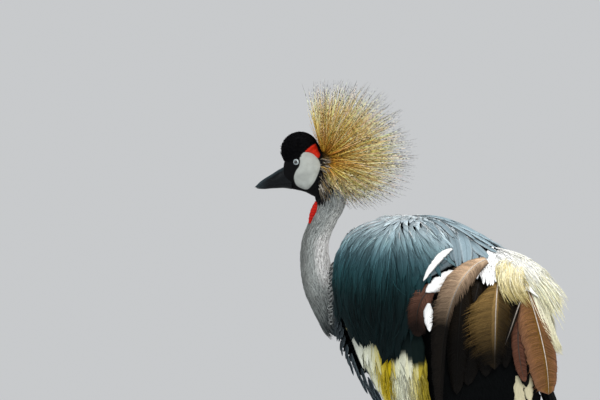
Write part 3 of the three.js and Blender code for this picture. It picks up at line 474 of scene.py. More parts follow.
def skin_tints(points):
    """The colour of the skin at each point, with the markings of the coat over it."""
    a, b, c = head_place(points).T
    t = np.linspace(0, 1, 60)
    line = neck_shape(t)
    gap = np.linalg.norm(points[:, None] - line[None, :, :3], axis=-1) - line[:, 3]
    on_neck = smooth(5, 1, gap.min(1)) * smooth(0.16, 0.24, t[gap.argmin(1)])
    on_head = smooth(95, 80, np.linalg.norm(points - head_point(0, -10, 0), axis=1)) * smooth(-66, -54, b)
    behind = smooth(-27, -34, a) * smooth(-45, -35, b) * on_head
    tints = np.tile(SKIN_TINTS["slate"], (len(points), 1))
    for name, share in (("neck", on_neck), ("velvet", on_head), ("crest", behind)):
        tints = toward(tints, SKIN_TINTS[name], share)
    flank = smooth(6, 12, np.abs(c)) * smooth(60, 40, np.abs(c))
    near = np.linalg.norm(points - HEAD_CENTRE, axis=1) < 60
    for outline, name in ((CHEEK, "cheek"), (RED_LOBE, "lobe")):
        mark = np.zeros(len(points))
        mark[near] = smooth(-0.5, 0.5, outline_depth(outline, a[near], b[near]))
        tints = toward(tints, SKIN_TINTS[name], mark * flank)
    return toward(tints, SKIN_TINTS["leg"], smooth(252, 244, points[:, 2]))


skin_points = read_points(skin.data)
tints = skin_tints(skin_points)
set_tints(skin, tints)


def add_node(tree, kind, inputs=None, **settings):
    """A new node with its settings, and with each input linked to a socket or set to a value."""
    node = tree.nodes.new(kind)
    for name, value in settings.items():
        setattr(node, name, value)
    for name, value in (inputs or {}).items():
        if isinstance(value, bpy.types.NodeSocket):
            tree.links.new(value, node.inputs[name])
        else:
            node.inputs[name].default_value = value
    return node


def new_material(name, **constants):
    """A material with one Principled shader, whose constants are set on its own sockets."""
    material = bpy.data.materials.new(name)
    material.use_nodes = True
    tree = material.node_tree
    shader = tree.nodes["Principled BSDF"]
    for socket, value in constants.items():
        shader.inputs[socket.replace("_", " ")].default_value = value
    return material, tree, shader


def math_node(tree, operation, first, second):
    """The result of a sum, product or other operation on two sockets or numbers."""
    return add_node(tree, "ShaderNodeMath", {0: first, 1: second}, operation=operation).outputs[0]


def mix_tint(tree, factor, first, second, blend="MIX"):
    """A colour between two, by a factor."""
    node = add_node(tree, "ShaderNodeMix", data_type="RGBA", blend_type=blend)
    for place, value in ((0, factor), (6, first), (7, second)):
        if isinstance(value, bpy.types.NodeSocket):
            tree.links.new(value, node.inputs[place])
        else:
            node.inputs[place].default_value = value
    return node.outputs[2]


def own_value(tree, name, output="Fac"):
    """What the mesh carries under this name at each point."""
    return add_node(tree, "ShaderNodeAttribute", attribute_name=name).outputs[output]


def own_tint(tree, shade):
    """The mesh's own colour times a shade."""
    return mix_tint(tree, 1.0, own_value(tree, "tint", "Color"), shade, "MULTIPLY")


def here(tree):
    """The place on the object, in metres."""
    return add_node(tree, "ShaderNodeTexCoord").outputs["Object"]


def noise_at(tree, place, scale, detail, roughness=0.5, **settings):
    """Noise of a scale at a place, with finer layers by detail."""
    inputs = {"Vector": place, "Scale": scale, "Detail": detail, "Roughness": roughness}
    return add_node(tree, "ShaderNodeTexNoise", inputs, **settings).outputs["Fac"]


def remapped(tree, value, low, high, to_low=0.0, to_high=1.0):
    """The value, with low to high laid over to_low to to_high and held beyond them."""
    inputs = {"Value": value, "From Min": low, "From Max": high, "To Min": to_low, "To Max": to_high}
    return add_node(tree, "ShaderNodeMapRange", inputs).outputs["Result"]


def finish_shader(tree, shader, colour, relief, strength, distance):
    """Gives the shader its colour, and a bump from the relief."""
    bump = add_node(tree, "ShaderNodeBump", {"Strength": strength, "Distance": distance, "Height": relief})
    tree.links.new(colour, shader.inputs["Base Color"])
    tree.links.new(bump.outputs["Normal"], shader.inputs["Normal"])


def skin_material(name, grain, height, roughness, cells=False):
    """Bare skin: its own tints, mottled a little, with fine wrinkles or, if cells is true, small scales."""
    material, tree, shader = new_material(name, Roughness=roughness, Specular_IOR_Level=0.08)
    place = here(tree)
    mottled = remapped(tree, noise_at(tree, place, grain * 0.25, 3.0), 0.3, 0.7, 0.82, 1.1)
    if cells:
        cell = add_node(tree, "ShaderNodeTexVoronoi", {"Vector": place, "Scale": grain},
                        feature="DISTANCE_TO_EDGE")
        relief = remapped(tree, cell.outputs["Distance"], 0.0, 0.12)
    else:
        relief = noise_at(tree, place, grain, 4.0)
    finish_shader(tree, shader, own_tint(tree, mottled), relief, 0.5, height)
    return material


skin.data.materials.clear()
for material in (skin_material("hidden_skin", 300.0, 0.0003, 0.8),
                 skin_material("bare_skin", 900.0, 0.0004, 0.45),
                 skin_material("leg_scales", 620.0, 0.0006, 0.42, cells=True)):
    skin.data.materials.append(material)


def mark_regions(mesh, points, tints):
    """Gives each face its region's material: legs below the thighs, bare cheeks and lobes, or the rest."""
    first = read_whole(mesh.loops, "vertex_index")[read_whole(mesh.polygons, "loop_start")]
    bare = (tints[first, 0] > 0.4) & (points[first, 2] > 700)
    region = np.where(points[first, 2] < 248, 2, np.where(bare, 1, 0))
    mesh.polygons.foreach_set("material_index", region.astype(np.int32))
    mesh.polygons.foreach_set("use_smooth", np.ones(len(region), bool))
    mesh.update()


mark_regions(skin.data, skin_points, tints)
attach(skin, "root")
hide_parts("torso", "neck_lower", "neck_upper", "head", "shank_left", "shank_right",
            "tarsus_left", "tarsus_right", "foot_left", "foot_right")


# Velvet of the head.
# Very short dense black feathers cover the cushion, the crown, the sides round the eyes and the throat.
# Each is a small three-sided tuft that lies back from the bill, and none grows on bare cheek or red lobe.

VELVET = {"count": 10500, "on_skull": 0.62, "on_cushion": 0.6, "long": (2.4, 3.8), "half": 0.55,
          "thick": 0.35, "tint": (0.0032, 0.0032, 0.004)}
GOLDEN = (np.sqrt(5) - 1) / 2
BAKE_PATCH = 0.003
TUFT = {"across": np.array([-1.0, 0.0, 1.0]), "height": np.array([0.0, 1.0, 0.0])}


def spread_over(surface, first, second, count, rng):
    """Places spread evenly over a surface: the first parameter by the share of area passed, the second by a
    golden-ratio walk through the area of its row."""
    u = np.linspace(*first, 160)
    v = np.linspace(*second, 160)
    grid = surface(u[:, None], v[None])
    area = np.linalg.norm(np.cross(np.gradient(grid, axis=0), np.gradient(grid, axis=1)), axis=-1)
    passed = np.cumsum(area.sum(1))
    share = (np.arange(count) + rng.random(count)) / count
    at_u = np.interp(share, passed / passed[-1], u)
    row = np.clip(np.searchsorted(u, at_u), 0, len(u) - 1)
    inside = np.cumsum(area, axis=1)[row]
    inside /= inside[:, -1:]
    walk = (np.arange(count) * GOLDEN + 0.004 * rng.standard_normal(count)) % 1
    column = (inside < walk[:, None]).sum(1)
    at_v = v[0] + (column + rng.random(count) - 0.5) / (len(v) - 1) * (v[-1] - v[0])
    return at_u, at_v


def rooted(surface, u, v, depth):
    """Roots at a depth under a surface, and the outward way at each."""
    return surface(u, v, -depth), unit(surface(u, v, 1.0) - surface(u, v, 0.0))


def feathers(name, centre, out, half, thick, profile, tint, roots, lots, camber=0.0, twist=None, edges=None,
             patch=(BAKE_PATCH, BAKE_PATCH)):
    """One piece of many closed feathers, tufts or bristles.
    centre, (feather, station, 3), is each one's middle line, out its outward way, and half its half width.
    A section is half times the profile's across by thick times its height, bent down by camber times across
    squared and turned by twist about the line; edges widens or narrows its two sides. tint is a colour for
    each feather, and perhaps station and place across. The map "vane" is (across, along) in metres, and
    "OFBake" a small patch at its root."""
    count, stations = centre.shape[:2]
    across, height = profile["across"], profile["height"]
    around = len(across)
    shape = (count, stations, around)
    along = unit(np.gradient(centre, axis=1))
    side = unit(np.cross(along, out if out.ndim == 3 else out[:, None]))
    up = np.cross(side, along)
    if twist is not None:
        c, s = np.cos(twist)[..., None], np.sin(twist)[..., None]
        side, up = side * c + up * s, up * c - side * s
    wide = np.broadcast_to(half, shape[:2])[..., None] * across
    if edges is not None:
        wide = wide * np.where(across < 0, edges[..., :1], edges[..., 1:])
    high = np.broadcast_to(thick, shape[:2])[..., None] * height - camber * np.abs(wide) * np.abs(across)
    points = centre[:, :, None] + side[:, :, None] * wide[..., None] + up[:, :, None] * high[..., None]
    points = points.reshape(-1, 3)
    j = np.arange(around)
    ends = np.stack([j[::-1], (stations - 1) * around + j])
    one = facing_out(points[:stations * around] - points[0], [ring_quads(stations, around), ends])
    starts = (np.arange(count) * stations * around)[:, None, None]
    piece = mesh_object(name, points, [(group + starts).reshape(-1, group.shape[1]) for group in one])
    t = np.linspace(0, 1, stations)[None, :, None]
    tint = np.clip(tint, 0, 1)
    tint = np.broadcast_to(tint.reshape(tint.shape[:-1] + (1,) * (4 - tint.ndim) + (3,)), shape + (3,))
    tint = np.concatenate([tint, np.broadcast_to(t[..., None], shape + (1,))], -1)
    set_attribute(piece, "tint", "FLOAT_COLOR", tint.reshape(-1, 4))
    set_attribute(piece, "lot", "FLOAT", np.broadcast_to(lots[:, None, None], shape))
    steps = np.linalg.norm(np.diff(centre, axis=1), axis=-1)
    passed = np.concatenate([np.zeros((count, 1)), np.cumsum(steps, axis=1)], axis=1)
    roots = roots[:, None, None]
    corners = read_whole(piece.data.loops, "vertex_index")
    for layer, first, second in (("vane", wide * MM, passed[..., None] * MM),
                                 ("OFBake", roots[..., 0] + patch[0] * across / 2,
                                  roots[..., 1] + patch[1] * (t - 0.5))):
        values = np.stack([np.broadcast_to(first, shape), np.broadcast_to(second, shape)], -1).reshape(-1, 2)
        uv_map = piece.data.uv_layers.new(name=layer).data
        uv_map.foreach_set("uv", values[corners].astype(np.float32).ravel())
    return piece


def tuft_lines(root, out, lie, long, lift, settle, sunk, stations):
    """Middle lines of tufts: from sunk under the skin along the lie, raised by lift, laid down by settle."""
    s = np.linspace(0, 1, stations)[None, :, None]
    long = np.asarray(long)[:, None, None]
    way = lie[:, None] * s + out[:, None] * (lift * s - settle * s * s)
    return root[:, None] - out[:, None] * sunk + long * way


def barb_group():
    """Barbs and shaft of a feather, from its own map of (across, along) in metres. Streak is noise read at
    the distance along the shaft less slant times the distance across it, in steps of the spacing, so that
    it runs along the barbs. Shaft is 1 on the middle line and falls to 0 at the shaft's half width."""
    group = bpy.data.node_groups.new("barbs", "ShaderNodeTree")
    group.interface.new_socket("Vane", in_out="INPUT", socket_type="NodeSocketVector")
    for name in ("Lot", "Spacing", "Slant", "Shaft Half"):
        group.interface.new_socket(name, in_out="INPUT", socket_type="NodeSocketFloat")
    for name in ("Streak", "Shaft"):
        group.interface.new_socket(name, in_out="OUTPUT", socket_type="NodeSocketFloat")
    entry, result = group.nodes.new("NodeGroupInput"), group.nodes.new("NodeGroupOutput")
    place = add_node(group, "ShaderNodeSeparateXYZ", {0: entry.outputs["Vane"]})
    across = math_node(group, "ABSOLUTE", place.outputs["X"], 0.0)
    slanted = math_node(group, "MULTIPLY", across, entry.outputs["Slant"])
    barb = math_node(group, "DIVIDE", math_node(group, "SUBTRACT", place.outputs["Y"], slanted),
                     entry.outputs["Spacing"])
    slow = math_node(group, "MULTIPLY", across, 90.0)
    lot = math_node(group, "MULTIPLY", entry.outputs["Lot"], 61.0)
    at = add_node(group, "ShaderNodeCombineXYZ", {0: barb, 1: slow, 2: lot}).outputs[0]
    near = math_node(group, "DIVIDE", across, entry.outputs["Shaft Half"])
    group.links.new(remapped(group, noise_at(group, at, 1.0, 3.0, 0.6), 0.32, 0.68), result.inputs["Streak"])
    group.links.new(remapped(group, near, 0.6, 1.0, 1.0, 0.0), result.inputs["Shaft"])
    return group


BARBS = barb_group()


def feather_material(name, spacing, slant, contrast, shaft_half=0.0006, shaft_gain=None, height=0.0004,
                     **constants):
    """Feathers: their own tints, streaked along the barbs, and a shaft that may be lighter or darker."""
    material, tree, shader = new_material(name, **constants)
    vane = add_node(tree, "ShaderNodeUVMap", uv_map="vane").outputs[0]
    inputs = {"Vane": vane, "Lot": own_value(tree, "lot"), "Spacing": spacing, "Slant": slant,
              "Shaft Half": shaft_half}
    streak, shaft = add_node(tree, "ShaderNodeGroup", inputs, node_tree=BARBS).outputs
    colour = own_tint(tree, remapped(tree, streak, 0.0, 1.0, 1 - contrast, 1 + contrast))
    if shaft_gain:
        gained = mix_tint(tree, 1.0, colour, (shaft_gain, shaft_gain, shaft_gain, 1), "MULTIPLY")
        colour = mix_tint(tree, shaft, colour, gained)
    finish_shader(tree, shader, colour, math_node(tree, "ADD", streak, shaft), 0.6, height)
    return material


def finish_piece(piece, material, slot, *nodes):
    """Gives a piece its material and its body, and hides the solids that it stands for. slot is not used."""
    piece.data.materials.append(material)
    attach(piece, "root")
    if nodes:
        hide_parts(*nodes)


def inside_skull(a, b, c, spare):
    """Whether places on the head lie inside the skull by more than spare."""
    top, bottom, half = np.moveaxis(skull_shape(a), -1, 0)
    reach = (c / (half - spare)) ** 2 + ((b - (top + bottom) / 2) / ((top - bottom) / 2 - spare)) ** 2
    return (reach < 1) & (a > SKULL[0][0]) & (a < SKULL[-1][0])


def inside_cushion(a, b, c, spare):
    """Whether places on the head lie inside the cushion by more than spare."""
    long, high, wide = (CUSHION[name] - spare for name in ("long", "high", "wide"))
    return ((a - CUSHION["a"]) / long) ** 2 + ((b - CUSHION["b"]) / high) ** 2 + (c / wide) ** 2 < 1


def head_roots(count, rng):
    """Places over skull and cushion, with the outward way at each, leaving out what either form hides."""
    found = []
    for surface, first, share, hidden in (
        (skull_at, (SKULL[0][0], SKULL[-1][0]), VELVET["on_skull"], inside_cushion),
        (cushion_at, (0.05, np.pi - 0.05), VELVET["on_cushion"], inside_skull),
    ):
        u, v = spread_over(surface, first, (0, 2 * np.pi), int(count * share), rng)
        root, out = rooted(surface, u, v, COAT_DEPTH["skull"])
        a, b, c = head_place(root).T
        keep = ~hidden(a, b, c, 0.6)
        found.append((root[keep], out[keep]))
    return (np.concatenate(parts) for parts in zip(*found))


def head_unwrap(root):
    """A root's place on an unwrap of the head: its angle round the long axis, and how far forward it is."""
    a, b, c = head_place(root).T
    return np.column_stack([np.arctan2(c, b) / (2 * np.pi) + 0.5, (a + 62) / 106])


rng = np.random.default_rng(3)
root, out = head_roots(VELVET["count"], rng)
a, b, c = head_place(root).T
bare = np.maximum(outline_depth(CHEEK, a, b), outline_depth(RED_LOBE, a, b)) > -0.4
eye_gap = np.minimum(*(np.linalg.norm(root - eye_centre(side), axis=1) for side in (1, -1)))
keep = ~(bare & (np.abs(c) > 6)) & (eye_gap > EYE["radius"] + 1.4) & ~((a > 26) & (b < -2)) & (a > -34)
root, out, b = root[keep], out[keep], b[keep]
back = unit(-HEAD_FORWARD - 0.35 * HEAD_UP * smooth(10, -30, b)[:, None])
lie = unit(square_to(back, out) + 0.12 * rng.standard_normal(root.shape))
long = rng.uniform(*VELVET["long"], len(root))
lines = tuft_lines(root, out, lie, long, 0.5, 0.32, 0.5, 3)
taper = np.array([1.0, 0.85, 0.12])
shade = np.array(VELVET["tint"]) * rng.uniform(0.6, 1.6, (len(root), 1))
velvet = feathers("head_velvet", lines, out, VELVET["half"] * taper, VELVET["thick"] * taper, TUFT, shade,
                  head_unwrap(root), rng.random(len(root)))
velvet_material = feather_material("velvet", 0.001, 1.0, 0.3, Roughness=0.85, Specular_IOR_Level=0.012)
finish_piece(velvet, velvet_material, "head_velvet")


# Bill.
# Two halves of dark horn with a satin gloss, blunt and slightly hooked, that meet at the line of the mouth.
# The upper half has a long slit nostril in a groove on each side, and a painted bluish highlight along
# its ridge.

# Stations of the bill: how far forward, top, mouth, bottom and half width.
BILL = [(22, 5, -31.3, -41.4, 12.9), (34, -3.5, -32.5, -39.6, 10.8), (45, -9.8, -33.6, -39.8, 8.6),
        (56, -17, -35, -40.3, 6.6), (66, -23, -36.4, -41.2, 4.8), (75, -29.6, -37.6, -40.9, 3),
        (80, -34.6, -38.2, -40, 1.6)]
BILL_TIP = {"a": 83.6, "upper": -38.2, "lower_back": 1.4}
MOUTH_GAP = 0.25
NOSTRIL = {"a": 49, "b": -20.5, "long": 7.5, "high": 1.5, "deep": 1.9, "slope": 0.62}
# The ridge tint is a painted highlight: a bluish sky reflection along the top of the upper bill.
BILL_TINTS_AND_HIGHLIGHT = {"base": (0.005, 0.006, 0.007), "tip": (0.016, 0.024, 0.028), "ridge": (0.018, 0.028, 0.034)}
bill_shape = curve_through(BILL)


def bill_half(upper):
    """Half a bill: at each a an arch over a level edge, high in the middle by a power below 1, which gives
    the ridge a round back. The upper half has a groove and a slit where its side lies near the nostril."""
    a = np.linspace(BILL[0][0], BILL[-1][0] - (0 if upper else BILL_TIP["lower_back"]), 80)
    top, mouth, bottom, half = np.moveaxis(bill_shape(a), -1, 0)
    edge = mouth + (1 if upper else -1) * MOUTH_GAP / 2
    rise = (top if upper else bottom) - edge
    angle = np.linspace(0, np.pi, 33)
    arch = np.sin(angle) ** 0.92
    b = edge[:, None] + rise[:, None] * arch
    c = half[:, None] * np.sign(np.cos(angle)) * np.abs(np.cos(angle)) ** 0.9
    if upper:
        along = (a[:, None] - NOSTRIL["a"]) + 0 * b
        level = b - (NOSTRIL["b"] - NOSTRIL["slope"] * along)
        slit = smooth(1.25, 0.6, np.hypot(along / NOSTRIL["long"], level / NOSTRIL["high"]))
        groove = smooth(1.3, 0.2, np.hypot((along + 3) / 17, level / 4.2)) * 0.7
        c = c - np.sign(c) * np.minimum(slit * NOSTRIL["deep"] + groove, np.abs(c))
    floor = np.linspace(1, -1, 9)[1:-1]
    under_b = edge[:, None] + 0 * floor
    rings = head_point(np.repeat(a[:, None], 40, 1), np.hstack([b, under_b]),
                       np.hstack([c, -half[:, None] * floor]))
    base = head_point(BILL[0][0], BILL[0][2] + (6 if upper else -4), 0)
    tip = head_point(BILL_TIP["a"] - (0 if upper else 2), BILL_TIP["upper"] - (0 if upper else 1.0), 0)
    return loft(rings, base, tip)


def horn_material(name, roughness):
    """Horn: its own tints with faint growth lines across and fine scratches, under a satin gloss."""
    material, tree, shader = new_material(name, Roughness=roughness, Specular_IOR_Level=0.1)
    lines = noise_at(tree, here(tree), 420.0, 5.0, 0.65)
    lined = own_tint(tree, remapped(tree, lines, 0.3, 0.7, 0.6, 1.5))
    finish_shader(tree, shader, lined, lines, 0.35, 0.0002)
    return material


horn = horn_material("horn", 0.3)
for name, upper in (("bill_upper", True), ("bill_lower", False)):
    points, faces = bill_half(upper)
    half_bill = mesh_object(f"bill_{'upper' if upper else 'lower'}_horn", points, faces)
    a, b, c = head_place(points).T
    top = bill_shape(a)[:, 0]
    tint = toward(BILL_TINTS_AND_HIGHLIGHT["base"], BILL_TINTS_AND_HIGHLIGHT["tip"], smooth(58, 82, a))
    # Painted highlight along the ridge of the upper bill.
    tint = toward(tint, BILL_TINTS_AND_HIGHLIGHT["ridge"], smooth(6, 1, top - b) * upper)
    set_tints(half_bill, tint)
    finish_piece(half_bill, horn, "horn", name)


# Eyes.
# A wet eyeball with a black pupil in a grey-blue iris that pales outwards to a dark rim, under a clear coat.

EYE_RINGS = {"pupil": 2.9, "iris": 4.5, "rim": 5.0}
EYE_TINTS = {"pupil": (0.003, 0.003, 0.004), "inner": (0.21, 0.26, 0.29), "outer": (0.40, 0.46, 0.47),
             "rim": (0.01, 0.011, 0.013)}


def eye_ball(side):
    """Eyeball: rings round the gaze, closer over the iris, with the cornea a little proud in front."""
    gaze = eye_gaze(side)
    right = unit(np.cross(HEAD_UP, gaze))
    rise = np.cross(gaze, right)
    share = np.linspace(0.02, 0.985, 40) ** 1.25
    polar = share[:, None, None] * np.pi
    turn = full_turn(40)[None, :, None]
    radius = EYE["radius"] * (1 + 0.05 * smooth(0.9, 0.2, polar))
    ring = (gaze * np.cos(polar) + (right * np.cos(turn) + rise * np.sin(turn)) * np.sin(polar)) * radius
    centre = eye_centre(side)
    return loft(centre + ring, centre + gaze * EYE["radius"] * 1.05, centre - gaze * EYE["radius"])


eye_material, tree, shader = new_material("eye", Roughness=0.08, Coat_Weight=1.0, Coat_Roughness=0.03)
fibres = remapped(tree, noise_at(tree, here(tree), 1500.0, 3.0), 0.0, 1.0, 0.75, 1.2)
tree.links.new(own_tint(tree, fibres), shader.inputs["Base Color"])
for name, side in (("left", 1), ("right", -1)):
    points, faces = eye_ball(side)
    ball = mesh_object(f"eye_{name}_ball", points, faces)
    offset, gaze = points - eye_centre(side), eye_gaze(side)
    from_axis = np.linalg.norm(square_to(offset, gaze), axis=1)
    from_axis = np.where(offset @ gaze > 0, from_axis, EYE["radius"])
    tint = EYE_TINTS["inner"]
    for mark, low, high in (("outer", 2.5, 4.4),
                            ("pupil", EYE_RINGS["pupil"] + 0.15, EYE_RINGS["pupil"] - 0.15),
                            ("rim", EYE_RINGS["iris"], EYE_RINGS["rim"])):
        tint = toward(tint, EYE_TINTS[mark], smooth(low, high, from_axis))
    set_tints(ball, tint)
    finish_piece(ball, eye_material, "eye", f"eye_{name}")


# Throat wattle.
# A small soft lobe of bare red skin down the front of the throat, with fine folds across it.

WATTLE = [(-22.5, -63.5, 6), (-20, -71.5, 7.8), (-15, -80.5, 6.6), (-10.8, -89, 4.2), (-7.8, -96.5, 2)]
WATTLE_ENDS = [(-23, -60.5), (-6.8, -99.5)]
WATTLE_TINTS = ((0.52, 0.012, 0.006), (0.28, 0.006, 0.004))


def wattle_form():
    """Wattle: flat rings down the throat, their width drawn in and out by shallow folds."""
    share = np.linspace(0, 1, 90)
    a, b, radius = curve_through([(i / (len(WATTLE) - 1), *w) for i, w in enumerate(WATTLE)])(share).T
    rise = unit(HEAD_FORWARD + HEAD_UP * 0.35)
    turn = full_turn(36)[None, :, None]
    folds = (0.28 * np.sin(share * 70) + 0.22 * np.sin(share * 31 + 1))[:, None, None]
    furrow = 0.35 * np.cos(turn * 5) * smooth(0, 0.3, share)[:, None, None]
    size = radius[:, None, None] + folds + furrow
    rings = head_point(a, b, 0 * a)[:, None] + (HEAD_LEFT * np.cos(turn) * 0.8 + rise * np.sin(turn)) * size
    return loft(rings, *(head_point(a, b, 0) for a, b in WATTLE_ENDS))


points, faces = wattle_form()
wattle = mesh_object("wattle_skin", points, faces)
deep = smooth(0.35, -0.35, np.sin(head_place(points)[:, 1] * 1.35))
set_tints(wattle, toward(*WATTLE_TINTS, 0.6 * deep))
finish_piece(wattle, skin_material("wattle_red", 800.0, 0.0004, 0.42), "red_skin", "wattle")


# Crest.
# A round burst of stiff bristles from the back of the skull. Each is a flat quill twisted along its length,
# golden at the root and straw further out, with blackish bands that crowd together towards its tip.

CREST_ROOT = {"a": -31, "b": 9, "spread": (10.5, 18.5, 13)}
CREST_FAN = {"low": -80, "high": 103, "lean": np.radians(58)}
CREST_REACH = curve_through([(-80, 64), (-67, 86), (-47, 113), (-27, 140), (-9, 151), (5, 151), (28, 148),
                             (59, 142), (86, 130), (103, 124)])
CREST_LAYERS = [("crest_core", 1620, (0.4, 0.84), 17), ("crest_outer", 1250, (0.86, 1.06), 19)]
BRISTLE = {"half": 0.72, "thick": 0.34, "bow": 3.8, "stations": 12, "turns": (2.0, 4.5)}
CREST_TINTS = [(0.0, (0.46, 0.20, 0.02)), (0.2, (0.90, 0.46, 0.06)), (0.4, (1.0, 0.67, 0.17)),
               (0.6, (1.0, 0.79, 0.37)), (0.8, (0.98, 0.88, 0.61)), (1.0, (0.86, 0.81, 0.70))]
RIBBON = {"across": np.array([-1.0, 0.0, 1.0, 0.0]), "height": np.array([0.0, 1.0, 0.0, -1.0])}


def golden(count):
    """Shares from 0 to 1 in an even walk, each a golden ratio past the last."""
    return np.arange(count) * GOLDEN % 1


def tint_curve(rows):
    """A curve of colours through rows of (place, colour)."""
    return curve_through([(at, *colour) for at, colour in rows])


def crest_bristles(name, count, reach_share, seed):
    """Bristles spread evenly over the fan: each starts on the back of the skull and runs along its own way,
    bowed a little to one side, out to a share of the crest's reach at its angle."""
    rng = np.random.default_rng(seed)
    order = (np.arange(count) + 0.5) / count
    rise = CREST_FAN["low"] + (CREST_FAN["high"] - CREST_FAN["low"]) * golden(count)
    rise = rise + 3.5 * rng.standard_normal(count)
    lean = np.arcsin((2 * order - 1) * np.sin(CREST_FAN["lean"])) + 0.05 * rng.standard_normal(count)
    angle = np.radians(rise)
    way = (-np.cos(angle) * np.cos(lean), np.sin(angle) * np.cos(lean), np.sin(lean))
    direction = head_point(*way) - HEAD_CENTRE
    spread_a, spread_b, spread_c = CREST_ROOT["spread"]
    root = head_point(CREST_ROOT["a"] + spread_a * way[0], CREST_ROOT["b"] + spread_b * way[1],
                      spread_c * way[2])
    reach = CREST_REACH(rise) * (1 - 0.16 * (lean / CREST_FAN["lean"]) ** 2)
    reach = reach * rng.uniform(*reach_share, count)
    bow = rng.standard_normal((count, 3)) + np.array([0, 0, -0.5])
    bow = unit(square_to(bow, direction))
    t = np.linspace(0, 1, BRISTLE["stations"])[None, :, None]
    ends = head_point(CREST_ROOT["a"], CREST_ROOT["b"], 0) + direction * reach[:, None]
    lines = root[:, None] * (1 - t) + ends[:, None] * t
    bend = BRISTLE["bow"] * rng.uniform(0.2, 1.4, count)[:, None, None]
    lines = lines + bow[:, None] * bend * np.sin(np.pi * t**0.9) * (reach[:, None, None] / 140)
    turns = rng.uniform(*BRISTLE["turns"], count)[:, None] * 2 * np.pi
    twist = turns * t[..., 0] + rng.uniform(0, 2 * np.pi, count)[:, None]
    width = np.interp(t[0, :, 0], [0, 0.2, 0.75, 1], [0.75, 1, 0.85, 0.12]) * BRISTLE["half"]
    depth = np.interp(t[0, :, 0], [0, 0.8, 1], [1.1, 0.8, 0.3]) * BRISTLE["thick"]
    reached = t[..., 0] * reach[:, None] / CREST_REACH(rise)[:, None]
    tint = tint_curve(CREST_TINTS)(reached)
    tint = tint * rng.uniform(0.72, 1.18, (count, 1, 1)) * (1 + 0.08 * rng.standard_normal((count, 1, 3)))
    unwrap = np.column_stack([(rise + 75) / 190, 0.5 + lean / 2.6])
    piece = feathers(name, lines, bow, width, depth, RIBBON, tint, unwrap, rng.random(count), twist=twist)
    set_attribute(piece, "reach", "FLOAT", np.broadcast_to(reached[..., None], reached.shape + (4,)))
    return piece


def bristle_material():
    """Bristles: their tints, with dark bands by noise along them that grow more frequent towards the tip."""
    material, tree, shader = new_material("crest_bristle", Roughness=0.5, Specular_IOR_Level=0.35)
    vane = add_node(tree, "ShaderNodeUVMap", uv_map="vane").outputs[0]
    along = add_node(tree, "ShaderNodeSeparateXYZ", {0: vane}).outputs["Y"]
    lot = math_node(tree, "MULTIPLY", own_value(tree, "lot"), 53.0)
    place = add_node(tree, "ShaderNodeCombineXYZ", {0: along, 1: lot}).outputs[0]
    bands = noise_at(tree, place, 210.0, 1.0, noise_dimensions="2D")
    limit = remapped(tree, own_value(tree, "reach"), 0.6, 1.0, 0.74, 0.42)
    dark = math_node(tree, "GREATER_THAN", bands, limit)
    colour = mix_tint(tree, dark, own_value(tree, "tint", "Color"), (0.022, 0.016, 0.012, 1))
    tree.links.new(colour, shader.inputs["Base Color"])
    return material


crest_material = bristle_material()
for name, count, reach_share, seed in CREST_LAYERS:
    bristles = crest_bristles(name, count, reach_share, seed)
    finish_piece(bristles, crest_material, "crest_bristles", *(["crest"] if name == "crest_outer" else []))


# Hair behind the cheek.
# Fine hair-like feathers, grey-brown, black, white and golden, hang back and down from the rear edge of the
# cheek and cover the foot of the crest.

NAPE_HAIR = {"count": 640, "long": (8, 22), "half": 0.42, "thick": 0.3, "stations": 6}
NAPE_TINTS = np.array([(0.32, 0.27, 0.20), (0.03, 0.027, 0.025), (0.82, 0.78, 0.70), (0.62, 0.42, 0.15)])

rng = np.random.default_rng(23)
count = NAPE_HAIR["count"]
side = np.where(np.arange(count) % 2, 1.0, -1.0)
a = rng.uniform(-40, -22, count)
b = rng.uniform(-46, 14, count)
top, bottom, half = np.moveaxis(skull_shape(a), -1, 0)
level = np.clip((b - (top + bottom) / 2) / ((top - bottom) / 2), -0.97, 0.97)
root = head_point(a, b, side * (half - 1.5) * np.sqrt(1 - level**2))
out = unit(root - head_point(a, (top + bottom) / 2, 0 * a))
drop = smooth(14, -44, b)
lie = unit(-HEAD_FORWARD * (1.0 - 0.55 * drop)[:, None] - HEAD_UP * (0.25 + 0.9 * drop)[:, None]
           + 0.22 * rng.standard_normal((count, 3)))
long = rng.uniform(*NAPE_HAIR["long"], count)
lines = tuft_lines(root, out, lie, long, 0.28, 0.18, 0.6, NAPE_HAIR["stations"])
taper = np.interp(np.linspace(0, 1, NAPE_HAIR["stations"]), [0, 0.3, 1], [0.7, 1, 0.1])
tint = NAPE_TINTS[rng.choice(4, count, p=[0.3, 0.34, 0.16, 0.2])] * rng.uniform(0.7, 1.25, (count, 1))
hair = feathers("nape_hair", lines, out, NAPE_HAIR["half"] * taper, NAPE_HAIR["thick"] * taper, TUFT, tint,
                head_unwrap(root), rng.random(count))
hair_material = feather_material("hair", 0.003, 0.5, 0.2, Roughness=0.7, Specular_IOR_Level=0.12)
finish_piece(hair, hair_material, "neck_feathers")


# Neck coat.
# Long hair-like feathers lie close down the neck, grey in front, nearly white along its rear, with a band
# of painted light higher up the rear, and darker at its foot, where they pass into slate. Short black ones
# cover the throat and thin out into the grey.

NECK_COAT = {"count": 8600, "long": (12, 21), "half": 0.62, "thick": 0.4}
NECK_TINTS = {"front": (0.27, 0.285, 0.275), "side": (0.42, 0.45, 0.44), "rear": (0.74, 0.76, 0.74),
              "low": (0.26, 0.28, 0.27), "lit": (1.0, 1.0, 0.99), "black": (0.0035, 0.0035, 0.0045)}

